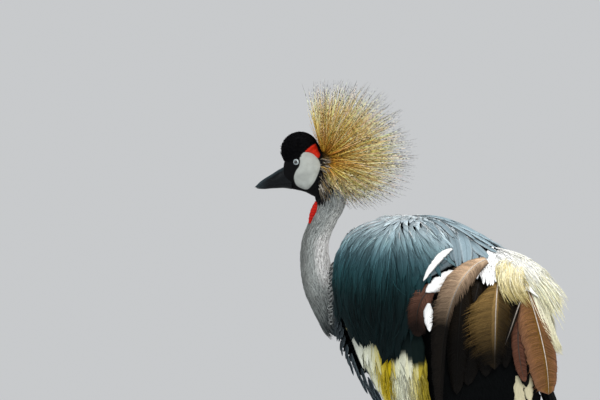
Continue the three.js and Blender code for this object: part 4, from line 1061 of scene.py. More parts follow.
rng = np.random.default_rng(29)
t, angle = spread_over(neck_at, (0.15, 0.985), (0, 2 * np.pi), NECK_COAT["count"], rng)
root, out = rooted(neck_at, t, angle, COAT_DEPTH["neck"])
down = unit(neck_at(t - 0.01, angle) - neck_at(t + 0.01, angle))
sweep = unit(np.cross(out, down))
foot = smooth(0.36, 0.18, t)
lie = unit(down + sweep * 0.13 * rng.standard_normal((len(t), 1)) + foot[:, None] * np.array([0, 0, -0.5]))
lie = unit(lie - 0.75 * out * np.maximum(np.sum(lie * out, -1, keepdims=True), 0))
long = rng.uniform(*NECK_COAT["long"], len(t)) * (1 - 0.35 * smooth(0.72, 0.95, t)) * (1 + 0.6 * foot)
lines = tuft_lines(root, out, lie, long, 0.3, 0.24, 0.6, 4)
taper = np.array([0.7, 1.0, 0.75, 0.1])
rear = 0.5 + 0.5 * np.sin(angle)
height = root[:, 2]
# Painted light: a band high on the rear of the neck is tinted white where light falls on it.
lit = smooth(560, 592, height) * smooth(672, 640, height) * smooth(0.55, 0.85, rear)
tint = NECK_TINTS["front"]
for goal, share in ((NECK_TINTS["side"], smooth(0.12, 0.6, rear)),
                    (NECK_TINTS["rear"], smooth(0.62, 0.95, rear)),
                    (NECK_TINTS["low"], 0.85 * smooth(585, 545, height)),
                    (SKIN_TINTS["slate"], 0.75 * smooth(0.26, 0.15, t + 0.03 * rng.standard_normal(len(t)))),
                    (NECK_TINTS["lit"], lit)):
    tint = toward(tint, goal, share)
edge = 0.70 + 0.26 * rear + 0.018 * rng.standard_normal(len(t))
tint = toward(tint * rng.uniform(0.62, 1.22, (len(t), 1)), NECK_TINTS["black"],
              smooth(-0.015, 0.02, t - edge))
unwrap = np.column_stack([angle / (2 * np.pi), t])
neck_coat = feathers("neck_coat", lines, out, NECK_COAT["half"] * taper, NECK_COAT["thick"] * taper, TUFT,
                     tint, unwrap, rng.random(len(t)))
finish_piece(neck_coat, hair_material, "neck_feathers")


# Body feathers.
# Small rounded slate feathers in staggered rows cover breast, belly, rump and thighs, each tip over the
# roots of the next row, darker in the middle and lighter along the edge.

BODY_COAT = {"count": 1500, "long": (26, 38), "half": 7.5, "thick": 0.7, "stations": 6}
SHANK_COAT = {"count": 230, "long": (18, 27), "half": 4.2, "thick": 0.6}
BODY_TINTS = {"core": (0.012, 0.018, 0.022), "edge": (0.060, 0.076, 0.086)}
VANE = {"across": np.array([-1, -0.55, 0, 0.55, 1, 0.5, 0, -0.5]),
        "height": np.array([0, 0.55, 1, 0.55, 0, -0.35, -0.5, -0.35])}


def vane_outline(t, point):
    """Half width of a feather along its shaft: it opens fast from the quill, is full to the middle and then
    closes by one less the square of the way left, to the power point, so that a small point is round and a
    large sharp."""
    closing = np.clip((t - 0.42) / 0.58, 0, 1)
    return np.maximum(np.minimum(1, 0.3 + 2.2 * t) * (1 - closing**2) ** point, 0.03)


rng = np.random.default_rng(31)
coats = []
x, angle = spread_over(torso_at, (-158, 166), (0, 2 * np.pi), BODY_COAT["count"], rng)
root, out = rooted(torso_at, x, angle, COAT_DEPTH["torso"])
shown = ~((root[:, 2] > 585) & (x > -128) & (x < 128))
x, angle, root, out = x[shown], angle[shown], root[shown], out[shown]
lie = square_to(unit(np.array([0.75, 0, -0.6])), out)
coats.append((root, unit(lie + 0.1 * rng.standard_normal(lie.shape)), out,
              rng.uniform(*BODY_COAT["long"], len(x)),
              BODY_COAT["half"] * np.ones(len(x)),
              np.column_stack([(x + 165) / 335, angle / (2 * np.pi) * 0.6])))


def shank_at(side):
    """Thigh and shank: rings from the hip to just above the ankle, as a surface of share and angle."""
    knee, ankle = leg_point(side, "knee"), leg_point(side, "ankle")
    width = curve_through(SHANK_STATIONS)

    def surface(share, angle, grow=0.0):
        share, angle = np.broadcast_arrays(share, angle)
        centre = knee + share[..., None] * (ankle - knee)
        radius = width(share) + grow
        return centre + stacked(np.cos(angle) * radius, np.sin(angle) * radius, 0 * radius)

    return surface


for side in (-1, 1):
    surface = shank_at(side)
    share, angle = spread_over(surface, (-0.2, 0.8), (0, 2 * np.pi), SHANK_COAT["count"], rng)
    root, out = rooted(surface, share, angle, COAT_DEPTH["shank"] * smooth(0.8, 0.5, share))
    down = unit(surface(share + 0.01, angle) - surface(share - 0.01, angle))
    narrow = np.interp(share, [0, 0.55, 0.8], [1.35, 0.62, 0.42])
    coats.append((root, unit(down + 0.08 * rng.standard_normal(down.shape)), out,
                  rng.uniform(*SHANK_COAT["long"], len(share)) * narrow, SHANK_COAT["half"] * narrow,
                  np.column_stack([0.5 + 0.22 * side + 0.2 * share, 0.65 + 0.3 * angle / (2 * np.pi)])))
root, lie, out, long, half, unwrap = (np.concatenate(parts) for parts in zip(*coats))
stations = BODY_COAT["stations"]
t = np.linspace(0, 1, stations)
lines = tuft_lines(root, out, lie, long, 0.3, 0.2, 1.0, stations)
lots = rng.random(len(root))
edge = 0.8 * np.maximum(np.abs(VANE["across"]) ** 3, 0.8 * smooth(0.8, 1.0, t)[:, None])
tint = toward(BODY_TINTS["core"], BODY_TINTS["edge"], edge) * rng.uniform(0.7, 1.25, (len(root), 1, 1, 1))
body_coat = feathers("body_feathers", lines, out, half[:, None] * vane_outline(t, 0.6),
                     BODY_COAT["thick"] * np.interp(t, [0, 1], [1, 0.4]), VANE, tint, unwrap, lots,
                     camber=0.22)
body_material = feather_material("body_feather", 0.0022, 1.4, 0.2, Roughness=0.6, Sheen_Weight=0.08,
                                 Sheen_Roughness=0.4, Specular_IOR_Level=0.2)
finish_piece(body_coat, body_material, "body_feathers")


# Mantle.
# Long lanceolate slate feathers hang from the ridge of the back over each folded wing. They lie in many
# rows like shingles, slate painted pale blue-grey on top as light and dark teal to near black low down as
# shade, and part over the shoulder.

SHEET_GAP = 0.175
WING_RIDGE = curve_through([(-150, 646), (-129, 665), (-106, 676), (-71, 680), (-18, 681.5), (18, 678),
                            (53, 665), (88, 646), (115, 632), (159, 612), (186, 597), (209, 578),
                            (245, 538)])
WING_HEM = curve_through([(-150, 452), (-120, 398), (-80, 362), (-30, 342), (30, 334), (90, 342), (150, 362),
                          (200, 384), (245, 410)])
WING_SPREAD = curve_through([(-150, 64), (-120, 90), (-80, 108), (-30, 117), (20, 117), (70, 109), (115, 96),
                             (150, 82), (190, 66), (245, 44)])
DRAPE_OUT = curve_through([(0, 0), (0.08, 0.42), (0.2, 0.76), (0.35, 0.95), (0.5, 1), (0.7, 0.97),
                           (0.85, 0.91), (1, 0.82)])
DRAPE_DOWN = curve_through([(0, 0), (0.08, 0.03), (0.2, 0.11), (0.35, 0.26), (0.5, 0.43), (0.7, 0.65),
                            (0.85, 0.82), (1, 1)])
DROP_PER_Q = curve_through([(0, 620), (0.1, 480), (0.25, 375), (1, 380)])
SIDES = {"left": -1, "right": 1}
FAR_WING_LEAD = 44
MANTLE_HEM = curve_through([(-142, 0.69), (-130, 0.68), (-119, 0.60), (-112, 0.62), (-103, 0.685),
                            (-95, 0.64), (-83, 0.685), (-60, 0.655), (-41, 0.67), (-17, 0.70),
                            (-3, 0.655), (14, 0.71), (31, 0.68), (45, 0.65), (66, 0.56)])
MANTLE_REAR = curve_through([(0, 114), (0.06, 98), (0.12, 77), (0.19, 60), (0.245, 46), (0.3, 38), (0.36, 27),
                             (0.43, 14), (0.49, 10), (0.57, 22), (0.62, 42), (0.75, 54)])
MANTLE_FRONT = curve_through([(0, -80), (0.06, -94), (0.1, -109), (0.17, -122), (0.22, -131), (0.3, -134),
                              (0.5, -135), (0.7, -140)])
FLOW_TOP = curve_through([(-142, -60), (-105, -190), (-72, -230), (-48, -50), (-26, 150), (8, 330), (37, 520),
                          (65, 800), (105, 1100)])
FLOW_LOW = curve_through([(-142, 120), (-105, 170), (-78, 190), (-48, 60), (-20, -40), (14, -70), (47, 20)])
MANTLE_ROWS = {"count": 760, "x": (-141, 250), "q": (-0.05, 0.66), "long": (42, 66), "half": (4.2, 3.2),
               "stations": 13, "thick": 0.5, "depth": (3.0, 7.0), "seed": 41}
MANTLE_BARBS = {"count": 700, "x": (-138, 236), "q": (-0.03, 0.6), "long": (22, 70), "half": 0.42,
                "stations": 9, "thick": 0.3, "over": 8.2, "seed": 45, "brightest": 0.8}
# Slate tints down the sheet by q, with painted light on top and painted shade that goes near black low down.
MANTLE_LIGHT_AND_SHADE_TINTS = [(0.0, (0.53, 0.61, 0.66)), (0.07, (0.44, 0.53, 0.58)), (0.14, (0.31, 0.40, 0.44)),
                (0.2, (0.17, 0.26, 0.29)), (0.26, (0.060, 0.118, 0.138)), (0.33, (0.018, 0.054, 0.063)),
                (0.42, (0.0050, 0.019, 0.021)), (0.5, (0.0026, 0.009, 0.010)), (0.9, (0.002, 0.0055, 0.006))]
mantle_light_and_shade_tone = tint_curve(MANTLE_LIGHT_AND_SHADE_TINTS)


def on_sheet(side, x, q):
    """A place on a folded wing's sheet: x along the body, and q from 0 at the ridge of the back down to 1
    at the hem, as the sheet spreads out from the ridge and falls over the flank. Below 0, q is on the other
    wing. The hind end of the right wing is drawn a little further forward."""
    over = np.where(q < 0, -1, 1)
    q = np.abs(q)
    if side > 0:
        x = x - FAR_WING_LEAD * smooth(120, 240, x)
    y = side * over * (SHEET_GAP + WING_SPREAD(x) * DRAPE_OUT(q))
    return stacked(x, y, WING_RIDGE(x) + (WING_HEM(x) - WING_RIDGE(x)) * DRAPE_DOWN(q))


def sheet_out(side, x, q):
    """The outward way of the sheet, close to straight up along its ridge."""
    over = np.where(q < 0, -1, 1)
    q = np.clip(np.abs(q), 0.012, 0.99)
    along = on_sheet(side, x + 1, q) - on_sheet(side, x - 1, q)
    down = on_sheet(side, x, q + 0.01) - on_sheet(side, x, q - 0.01)
    out = np.cross(along, down)
    out = unit(out * np.where(out[..., 1:2] * side < 0, -1, 1))
    out[..., 1] *= over
    return out


def over_sheet(side, x, q, over):
    """Points at a height over the sheet, and the outward way there. Past the hem they go straight down."""
    out = sheet_out(side, x, q)
    line = on_sheet(side, x, q) + out * np.asarray(over)[..., None]
    line[..., 2] -= np.maximum(q - 1, 0) * (WING_RIDGE(x) - WING_HEM(x))
    return line, out


def bent(root, bend, tip, t):
    """A quadratic curve from root to tip, drawn aside by bend."""
    return (1 - t) ** 2 * root + 2 * t * (1 - t) * bend + t**2 * tip


def on_wing(side, root, bend, tip, depth, stations, arch=0.0):
    """Middle lines and outward ways of feathers on a wing: quadratic curves in (x, q) from root by bend to
    tip, at a height over the sheet that goes from the first depth to the second, arched up between them."""
    t = np.linspace(0, 1, stations)[None, :, None]
    place = bent(root[:, None], bend[:, None], tip[:, None], t)
    over = depth[:, :1] + (depth[:, 1:] - depth[:, :1]) * t[..., 0] + arch * np.sin(np.pi * t[..., 0])
    return over_sheet(side, place[..., 0], place[..., 1], over)


def sheet_unwrap(place):
    """The place of a root on an unwrap of the wing's sheet."""
    return np.column_stack([(place[:, 0] + 165) / 430, (np.clip(place[:, 1], -0.08, 1.1) + 0.1) / 1.22])


def mantle_flow(x, q):
    """Which way the mantle runs: forward over the shoulder and rearward over the loin near the ridge, and
    curling back to the middle low down, as x for each unit of q."""
    return FLOW_TOP(x) * smooth(0.42, 0.08, q) + FLOW_LOW(x) * smooth(0.4, 0.62, q)


def flow_lines(x, q, long, stations):
    """Lines from each root that follow the mantle's flow for their length, by equal steps in millimetres,
    and hold back at the mantle's rear edge."""
    xs, qs = [x], [q]
    step = long / (stations - 1)
    for _ in range(stations - 1):
        lean = mantle_flow(xs[-1], np.abs(qs[-1]))
        drop = DROP_PER_Q(np.abs(qs[-1]))
        reach = np.sqrt(lean**2 + drop**2)
        xs.append(xs[-1] + step * lean / reach)
        qs.append(qs[-1] + step / reach)
    return np.stack(xs, 1), np.stack(qs, 1)


def in_mantle(x, q, hem, rear, front=0):
    """Whether places lie within the mantle's edges by these spares."""
    level = np.abs(q)
    return (q < MANTLE_HEM(x) - hem) & (x < MANTLE_REAR(level) - rear) & (x > MANTLE_FRONT(level) + front)


def mantle_piece(name, side):
    """Mantle of one wing: roots spread evenly from just over the ridge to near its hem. A feather is short
    at the top and in front and long on the flank, and one whose tip would pass the hem or the rear edge is
    left shorter."""
    rng = np.random.default_rng(MANTLE_ROWS["seed"] + side)
    count = MANTLE_ROWS["count"]
    (first_x, span_x), (first_q, span_q) = MANTLE_ROWS["x"], MANTLE_ROWS["q"]
    x = first_x + span_x * (np.arange(count) + rng.random(count)) / count
    q = first_q + span_q * golden(count) ** 0.9
    keep = in_mantle(x, q, 0.12, 22)
    x, q = x[keep], q[keep]
    count = len(x)
    grown = smooth(0.0, 0.3, q) * smooth(-155, -90, x)
    short, more = MANTLE_ROWS["long"]
    long = (short + more * grown) * rng.uniform(0.85, 1.15, count)
    for _ in range(5):
        way_x, way_q = (way[:, -1] for way in flow_lines(x, q, long, 4))
        fits = in_mantle(way_x, way_q, 0, 0, -np.inf)
        long = np.where(fits, long, long * 0.86)
    stations = MANTLE_ROWS["stations"]
    way_x, way_q = flow_lines(x, q, long, stations)
    t = np.linspace(0, 1, stations)
    way_x = way_x + (5 * rng.standard_normal((count, 1))) * t**2
    way_x = np.maximum(way_x, MANTLE_FRONT(np.abs(way_q)) + 2 * rng.random((count, 1)))
    low, high = MANTLE_ROWS["depth"]
    below_ridge = 0.25 + 0.75 * smooth(0, 0.16, np.abs(way_q))
    lift = (high - low) * (0.75 + 0.45 * rng.random((count, 1))) * below_ridge
    lines, out = over_sheet(side, way_x, way_q, low + lift * np.sin(0.5 * np.pi * t) ** 0.8)
    narrow, more = MANTLE_ROWS["half"]
    half = ((narrow + more * grown) * rng.uniform(0.85, 1.2, count))[:, None] * vane_outline(t, 1.05)
    shoulder = 1 + 0.7 * smooth(-62, -112, way_x) * smooth(0.3, 0.42, way_q)
    # Painted light and shade: each feather takes the sheet's tint at its depth, pale on top and near black
    # low down.
    tone = mantle_light_and_shade_tone(np.clip(way_q, 0, 1)) * shoulder[..., None] * rng.uniform(0.75, 1.3, (count, 1, 1))
    rim = 0.92 + 0.8 * np.abs(VANE["across"]) ** 7 + 0.1 * smooth(0.85, 1, t)[:, None]
    # Painted shade: each feather is darker towards its root, where the row above overlaps it.
    foot = 0.62 + 0.38 * smooth(0.3, 0.75, t)[:, None]
    tilt = 0.09 * rng.standard_normal(count)[:, None] + 0 * half
    return feathers(name, lines, out, half, MANTLE_ROWS["thick"] * np.interp(t, [0, 1], [1, 0.5]), VANE,
                    tone[:, :, None] * (rim * foot)[None, :, :, None], sheet_unwrap(np.column_stack([x, q])),
                    rng.random(count), camber=0.14, twist=tilt)


def mantle_barbs(name, side):
    """Fine loose barbs over the mantle, along the same lines as its feathers: most lighter than what they lie
    on, as painted highlights where edges and shafts catch the light, some dark."""
    rng = np.random.default_rng(MANTLE_BARBS["seed"] + side)
    count = MANTLE_BARBS["count"]
    (first_x, span_x), (first_q, span_q) = MANTLE_BARBS["x"], MANTLE_BARBS["q"]
    x = first_x + span_x * rng.random(count)
    q = first_q + span_q * rng.random(count) ** 1.1
    keep = in_mantle(x, q, 0.1, 16, 3)
    x, q = x[keep], q[keep]
    count = len(x)
    long = rng.uniform(*MANTLE_BARBS["long"], count) * (0.4 + 0.6 * smooth(0, 0.2, q))
    stations = MANTLE_BARBS["stations"]
    way_x, way_q = flow_lines(x, q, long, stations)
    t = np.linspace(0, 1, stations)
    way_x = way_x + 9 * rng.standard_normal((count, 1)) * t**2
    way_x = np.maximum(way_x, MANTLE_FRONT(np.abs(way_q)) + 2)
    fits = in_mantle(way_x[:, -1], way_q[:, -1], -0.01, 0)
    way_x, way_q, count = way_x[fits], way_q[fits], int(fits.sum())
    over = MANTLE_BARBS["over"] + rng.uniform(0, 1.6, (count, 1)) - 2.5 * (1 - t) ** 3
    over = over - 3.6 * smooth(0.16, 0, np.abs(way_q))
    lines, out = over_sheet(side, way_x, way_q, over)
    # Painted highlight: most barbs take up to 3.4 times the painted slate under them, as edges catching
    # light.
    tint = mantle_light_and_shade_tone(np.clip(way_q, 0, 1)) * rng.choice([0.3, 1.3, 1.9, 3.4], (count, 1, 1),
                                                          p=[0.3, 0.35, 0.25, 0.1])
    half = MANTLE_BARBS["half"] * rng.uniform(0.7, 1.3, (count, 1))
    half = half * np.interp(t, [0, 0.2, 1], [0.5, 1, 0.15])
    return feathers(name, lines, out, half, MANTLE_BARBS["thick"], TUFT,
                    np.minimum(tint, MANTLE_BARBS["brightest"]),
                    sheet_unwrap(np.column_stack([way_x[:, 0], way_q[:, 0]])), rng.random(count))


slate_material = feather_material("mantle_feather", 0.0026, 1.6, 0.16, shaft_half=0.00045, height=0.0003,
                                  Roughness=0.5, Specular_IOR_Level=0.06)
for name, side in SIDES.items():
    mantle = mantle_piece(f"mantle_{name}", side)
    finish_piece(mantle, slate_material, "body_feathers", f"wing_{name}_mantle")
    finish_piece(mantle_barbs(f"mantle_barbs_{name}", side), hair_material, "body_feathers")


# Scapulars.
# Behind the mantle broad, smooth, pale blue-grey feathers run back over the shoulder of the wing, with
# painted shade at each root that shows as dark gaps between them, and narrower ones lie along the ridge of
# the back.

SCAPULARS = [
    ((84, 0.15), (62, 0.21), (33, 0.325), 10, 7.4, 0.5),
    ((73, 0.13), (61, 0.185), (52, 0.25), 6, 7.6, 0.45),
    ((27, 0.085), (53, 0.12), (70, 0.215), 8, 8.6, 0.75),
    ((36, 0.045), (66, 0.085), (79, 0.24), 10, 9.6, 0.9),
    ((66, 0.06), (90, 0.09), (101, 0.188), 12, 8.8, 1.0),
    ((50, 0.03), (80, 0.06), (90, 0.22), 13, 10.4, 1.2),
    ((70, 0.045), (92, 0.08), (114, 0.115), 12, 10.0, 1.15),
    ((-16, 0.03), (21, 0.06), (43, 0.145), 7.5, 8.2, 0.95),
    ((-2, 0.02), (32, 0.035), (58, 0.10), 7.5, 8.8, 1.05),
    ((13, 0.01), (49, 0.016), (83, 0.045), 7.5, 9.4, 1.25),
    ((42, 0.0), (76, 0.005), (113, 0.03), 8, 10.6, 1.4),
    ((62, 0.02), (94, 0.03), (121, 0.05), 9, 8.6, 1.1),
    ((-30, -0.004), (10, 0.0), (46, 0.012), 7, 8.6, 1.25),
    ((25, -0.012), (62, -0.006), (100, 0.004), 7.5, 11.2, 1.4),
]
SCAPULARS += [((x, -0.004), (x + 15, 0.014), (x + 30, 0.05), 9, 3.2, 1.0) for x in range(-84, 58, 6)]
# The gap tint is painted shade, laid over each root where the feather above covers it.
SCAPULAR_TINTS = {"core": (0.17, 0.235, 0.27), "edge": (0.42, 0.50, 0.54), "gap": (0.008, 0.014, 0.018)}


def feather_rows(side, rows, depths, stations, arch=0.0):
    """Middle lines and outward ways of large feathers, given as rows of root, bend and tip in (x, q)."""
    root, bend, tip = (np.array([row[i] for row in rows], float) for i in range(3))
    return on_wing(side, root, bend, tip, np.asarray(depths, float), stations, arch)


def broad_feathers(name, side, rows, depths, tint_of, seed, point=0.55, stations=22, thick=0.6, camber=0.1,
                   fray=0.0, arch=0.0, sides=None, outline=None):
    """Large feathers laid one by one: rows of root, bend, tip in (x, q) and half width, at the given
    depths. tint_of gives the colour for (feather, station, place across), where -1 is the forward or lower
    edge on either wing. fray cuts back the edge here and there where barbs part, and outline gives half
    widths in place of the usual form."""
    rng = np.random.default_rng(seed)
    lines, out = feather_rows(side, rows, depths, stations, arch)
    wide = np.array([row[3] for row in rows], float)
    t = np.linspace(0, 1, stations)
    half = wide[:, None] * (vane_outline(t, point) if outline is None else outline)
    parted = 1 - fray * (rng.random((len(rows), stations, 2)) ** 4) * smooth(0.12, 0.3, t)[None, :, None]
    edges = parted if sides is None else parted * np.asarray(sides, float)
    across = VANE["across"] * (1 if side > 0 else -1)
    tint = tint_of(np.arange(len(rows))[:, None, None], t[None, :, None], across[None, None, :], rng)
    if side < 0:
        edges = edges[..., ::-1]
    patch = (0.9 / max(len(rows), 8), 0.5)
    place = np.column_stack([(np.arange(len(rows)) + 0.5) / len(rows), 0.5 + 0 * wide])
    return feathers(name, lines, out, half, thick * np.interp(t, [0, 1], [1, 0.4]), VANE, tint, place,
                    rng.random(len(rows)), camber=camber, edges=edges, patch=patch)


def scapular_tint(feather, t, across, rng):
    """Pale blue-grey by each feather's own tone, lighter to the edge, and painted dark at the root as shade.
    """
    tone = np.array([row[5] for row in SCAPULARS])[feather[:, 0, 0]][:, None, None, None]
    base = toward(SCAPULAR_TINTS["core"], SCAPULAR_TINTS["edge"], np.abs(across) ** 6)
    return toward(base * tone, SCAPULAR_TINTS["gap"], 0.8 * smooth(0.5, 0.05, t))


smooth_slate = feather_material("scapular_feather", 0.0030, 1.2, 0.10, shaft_half=0.0005,
                                shaft_gain=0.6, Roughness=0.5, Specular_IOR_Level=0.1)
for name, side in SIDES.items():
    depths = [(row[4] - 4.6, row[4]) for row in SCAPULARS]
    scapulars = broad_feathers(f"scapulars_{name}", side, SCAPULARS, depths, scapular_tint, 47, point=0.5,
                               fray=0.1, camber=0.12)
    finish_piece(scapulars, smooth_slate, "body_feathers")


# Wing coverts.
# Below the mantle the coverts hang as long, soft, pointed feathers: white at the front, lemon and straw
# between, and golden ochre in two patches, painted near black as shade where they lie above the mantle's
# hem. Single barbs part from their edges.

COVERTS = {"rows": [(26, 0.55, 0.77, -2.0), (30, 0.59, 0.88, -3.6), (30, 0.65, 1.02, -5.2)], "x": (-118, 145),
           "half": 9.5, "shade": (0.002, 0.007, 0.008), "strands": 420}
COVERT_STRANDS = {"half": 0.9, "thick": 0.4, "stations": 9}
COVERT_FRONT = curve_through([(0.5, -124), (0.6, -122), (0.64, -112), (0.68, -107), (0.735, -96),
                              (0.787, -84), (0.83, -70), (0.873, -56), (0.902, -45), (1.0, -22), (1.1, -4)])
COVERT_TINTS = [(-150, (0.62, 0.65, 0.60)), (-84, (0.62, 0.64, 0.54)), (-60, (0.60, 0.60, 0.40)),
                (-50, (0.56, 0.47, 0.10)), (-38, (0.48, 0.35, 0.016)), (-28, (0.52, 0.42, 0.06)),
                (-20, (0.62, 0.62, 0.42)), (-4, (0.68, 0.69, 0.54)), (6, (0.66, 0.64, 0.42)),
                (16, (0.55, 0.49, 0.18)), (27, (0.42, 0.33, 0.03)), (45, (0.46, 0.38, 0.1))]
covert_tone = tint_curve(COVERT_TINTS)


def covert_piece(name, side):
    """Coverts of one wing: three staggered rows of long feathers, each kept behind the wing's front edge, and
    painted near black as shade above the mantle's hem.
    """
    rng = np.random.default_rng(53 + side)
    rows, depths = [], []
    for number, (count, start, end, depth) in enumerate(COVERTS["rows"]):
        for i in range(count):
            step = i + 0.5 * (number % 2) + 0.3 * rng.standard_normal()
            x = COVERTS["x"][0] + COVERTS["x"][1] * step / count
            reach = end + 0.02 * rng.standard_normal()
            limit = float(COVERT_FRONT(np.array(reach))) + 8
            tip_x = max(x + 6 + 3 * rng.standard_normal(), limit)
            rows.append(((x, start), (max(x + 2, limit - 14), (start + reach) / 2), (tip_x, reach),
                         COVERTS["half"] * rng.uniform(0.75, 1.2)))
            depths.append((depth, depth + 2.6))
    middle = np.array([row[1][0] for row in rows])
    tone = covert_tone(middle + 3 * rng.standard_normal(len(rows)))
    shades = rng.uniform(0.88, 1.1, (len(rows), 1, 1))
    root, bend, tip = (np.array([row[i] for row in rows])[:, :, None] for i in range(3))

    def tint_of(feather, t, across, rng):
        shade = shades * (0.93 + 0.07 * np.abs(across)) * (0.9 + 0.1 * t)
        x, q = (bent(root[:, i], bend[:, i], tip[:, i], t[:, :, 0]) for i in range(2))
        hem = MANTLE_HEM(x) + 0.01 * rng.standard_normal((len(rows), 1))
        # Painted shade: above the mantle's hem, from x -60 back, the coverts go near black, as the shade
        # under the mantle.
        dark = 0.995 * smooth(0.02, -0.01, q - hem) * smooth(-60, -20, x)
        return toward(tone[:, None, None] * shade[..., None], COVERTS["shade"], dark[:, :, None])

    return broad_feathers(name, side, rows, depths, tint_of, 59, point=0.9, stations=16, camber=0.1,
                          fray=0.35)


def strand_piece(name, side, root, bend, tip, depth, tint, seed, half, thick, stations, arch=0.0):
    """Loose strands over a wing: hair-thin tufts along quadratic curves in (x, q), like single barbs."""
    rng = np.random.default_rng(seed)
    lines, out = on_wing(side, root, bend, tip, depth, stations, arch)
    t = np.linspace(0, 1, stations)
    taper = np.interp(t, [0, 0.25, 0.75, 1], [0.8, 1, 0.8, 0.12])
    width = half * rng.uniform(0.7, 1.3, (len(root), 1)) * taper
    roll = rng.uniform(-0.6, 0.6, (len(root), 1)) + 0 * width
    return feathers(name, lines, out, width, thick * taper, TUFT, tint, sheet_unwrap(root),
                    rng.random(len(root)), twist=roll)


def covert_strands(name, side):
    """Single barbs over the coverts, in their colours, lighter and darker by turns."""
    rng = np.random.default_rng(61 + side)
    count = COVERTS["strands"]
    start = rng.uniform(0.6, 0.88, count)
    end = np.minimum(start + rng.uniform(0.1, 0.22, count), 1.04 + 0.02 * rng.standard_normal(count))
    x = COVERT_FRONT(end) + 10 + (18 - COVERT_FRONT(end)) * rng.random(count)
    drift = 5 * rng.standard_normal(count)
    root, tip = np.column_stack([x, start]), np.column_stack([x + 6 + drift, end])
    bend = (root + tip) / 2 + np.column_stack([3 * rng.standard_normal(count), 0 * x])
    depth = np.column_stack([rng.uniform(-2.5, -1.0, count), rng.uniform(-0.5, 1.2, count)])
    root[:, 1] = np.where(x > -30, np.maximum(start, MANTLE_HEM(x) + 0.01), start)
    tone = covert_tone(x + 4) * rng.choice([0.55, 0.85, 1.1, 1.25], count, p=[0.2, 0.3, 0.3, 0.2])[:, None]
    return strand_piece(name, side, root, bend, tip, depth, tone, 67, **COVERT_STRANDS)


covert_material = feather_material("covert_feather", 0.0030, 2.4, 0.12, shaft_half=0.0005, shaft_gain=1.12,
                                   Roughness=0.6, Specular_IOR_Level=0.03)
for name, side in SIDES.items():
    finish_piece(covert_piece(f"coverts_{name}", side), covert_material, "white_coverts",
                 f"wing_{name}_coverts")
    finish_piece(covert_strands(f"covert_barbs_{name}", side), hair_material, "white_coverts")


# Breast edge.
# Narrow dark feathers fill the strip between breast and wing, small black ones with pale rims lie scalloped
# down the wing's front edge, and dark ones close that edge against the breast from inside.

BREAST_EDGE = {"strip": 84, "half": 3.6, "core": (0.007, 0.012, 0.016), "rim": (0.10, 0.13, 0.145)}
BREAST_LINE = curve_through([(0.56, -141), (0.66, -140), (0.74, -139), (0.775, -128), (0.8, -113),
                             (0.82, -99), (0.86, -75), (0.895, -57), (0.96, -37)])
SCALLOPS = {"count": 24, "half": 3.8, "core": (0.004, 0.005, 0.006), "rim": (0.66, 0.70, 0.68)}
INNER_EDGE = {"count": 190, "half": 7.5, "depth": (1.0, -36.0), "core": (0.007, 0.011, 0.014),
              "rim": (0.05, 0.065, 0.072)}


def edge_tint(part):
    """The colour of dark feathers with a thin pale rim round edge and tip, from a part's core and rim."""
    def tint_of(feather, t, across, rng):
        mark = np.clip(smooth(0.45, 0.9, np.abs(across)) + smooth(0.86, 0.98, t), 0, 1)
        return toward(part["core"], part["rim"], mark) * rng.uniform(0.7, 1.25, (len(feather), 1, 1, 1))
    return tint_of


def breast_strip(name, side):
    """Feathers spread over the strip from the breast line to the coverts' front, that point down and back."""
    rng = np.random.default_rng(89 + side)
    count = BREAST_EDGE["strip"]
    q = 0.56 + 0.38 * np.linspace(0, 1, count)
    share = golden(count)
    x = BREAST_LINE(q) + (COVERT_FRONT(q) - 10 + 16 * smooth(0.74, 0.8, q) - BREAST_LINE(q)) * share
    long = rng.uniform(0.035, 0.05, count)
    lean = 60 + 320 * smooth(0.74, 0.84, q)
    rows = [((a, b), (a + d * c / 2, b + c / 2), (a + d * c, b + c), BREAST_EDGE["half"])
            for a, b, c, d in zip(x, q, long, lean)]
    depths = np.column_stack([np.full(count, -1.0), rng.uniform(1.2, 3.0, count)])
    return broad_feathers(name, side, rows, depths, edge_tint(BREAST_EDGE), 91, point=0.7, stations=10,
                          fray=0.2, camber=0.14)


def scallop_strip(name, side):
    """Two files of small round feathers down the front edge of the wing, that point forward and down."""
    rng = np.random.default_rng(97 + side)
    count = SCALLOPS["count"]
    q = 0.30 + 0.40 * np.linspace(0, 1, count)
    x = -138.0 - 3.5 * (np.arange(count) % 2) + 0.8 * rng.standard_normal(count)
    rows = [((a, b), (a - 3, b + 0.01), (a - 6, b + 0.028), SCALLOPS["half"]) for a, b in zip(x, q)]
    depths = np.column_stack([np.full(count, 4.0), rng.uniform(5.5, 7.5, count)])
    return broad_feathers(name, side, rows, depths, edge_tint(SCALLOPS), 99, point=0.4, stations=9,
                          camber=0.2)


def inner_edge(name, side):
    """Feathers that run from under the wing's front edge forward and in to the breast."""
    rng = np.random.default_rng(113 + side)
    count = INNER_EDGE["count"]
    q = 0.03 + 0.79 * np.linspace(0, 1, count)
    x = np.where(q > 0.6, BREAST_LINE(np.maximum(q, 0.56)) + 12, -129) + 3 * rng.standard_normal(count)
    rows = [((a, b), (a - 13, b + 0.02), (a - 19, b + 0.055), INNER_EDGE["half"]) for a, b in zip(x, q)]
    low, high = INNER_EDGE["depth"]
    depths = np.column_stack([low - 3 * rng.random(count), high + 6 * rng.standard_normal(count)])
    return broad_feathers(name, side, rows, depths, edge_tint(INNER_EDGE), 117, point=0.6, stations=10,
                          fray=0.2, camber=0.12)


for name, side in SIDES.items():
    for part, build in (("inner_edge", inner_edge), ("breast_edge", breast_strip),
                        ("scallops", scallop_strip)):
        finish_piece(build(f"{part}_{name}", side), slate_material, "body_feathers")


# White feathers of the forewing.
# A few white feathers between mantle and tertials: a long sliver, a broad patch, a short ragged one below.

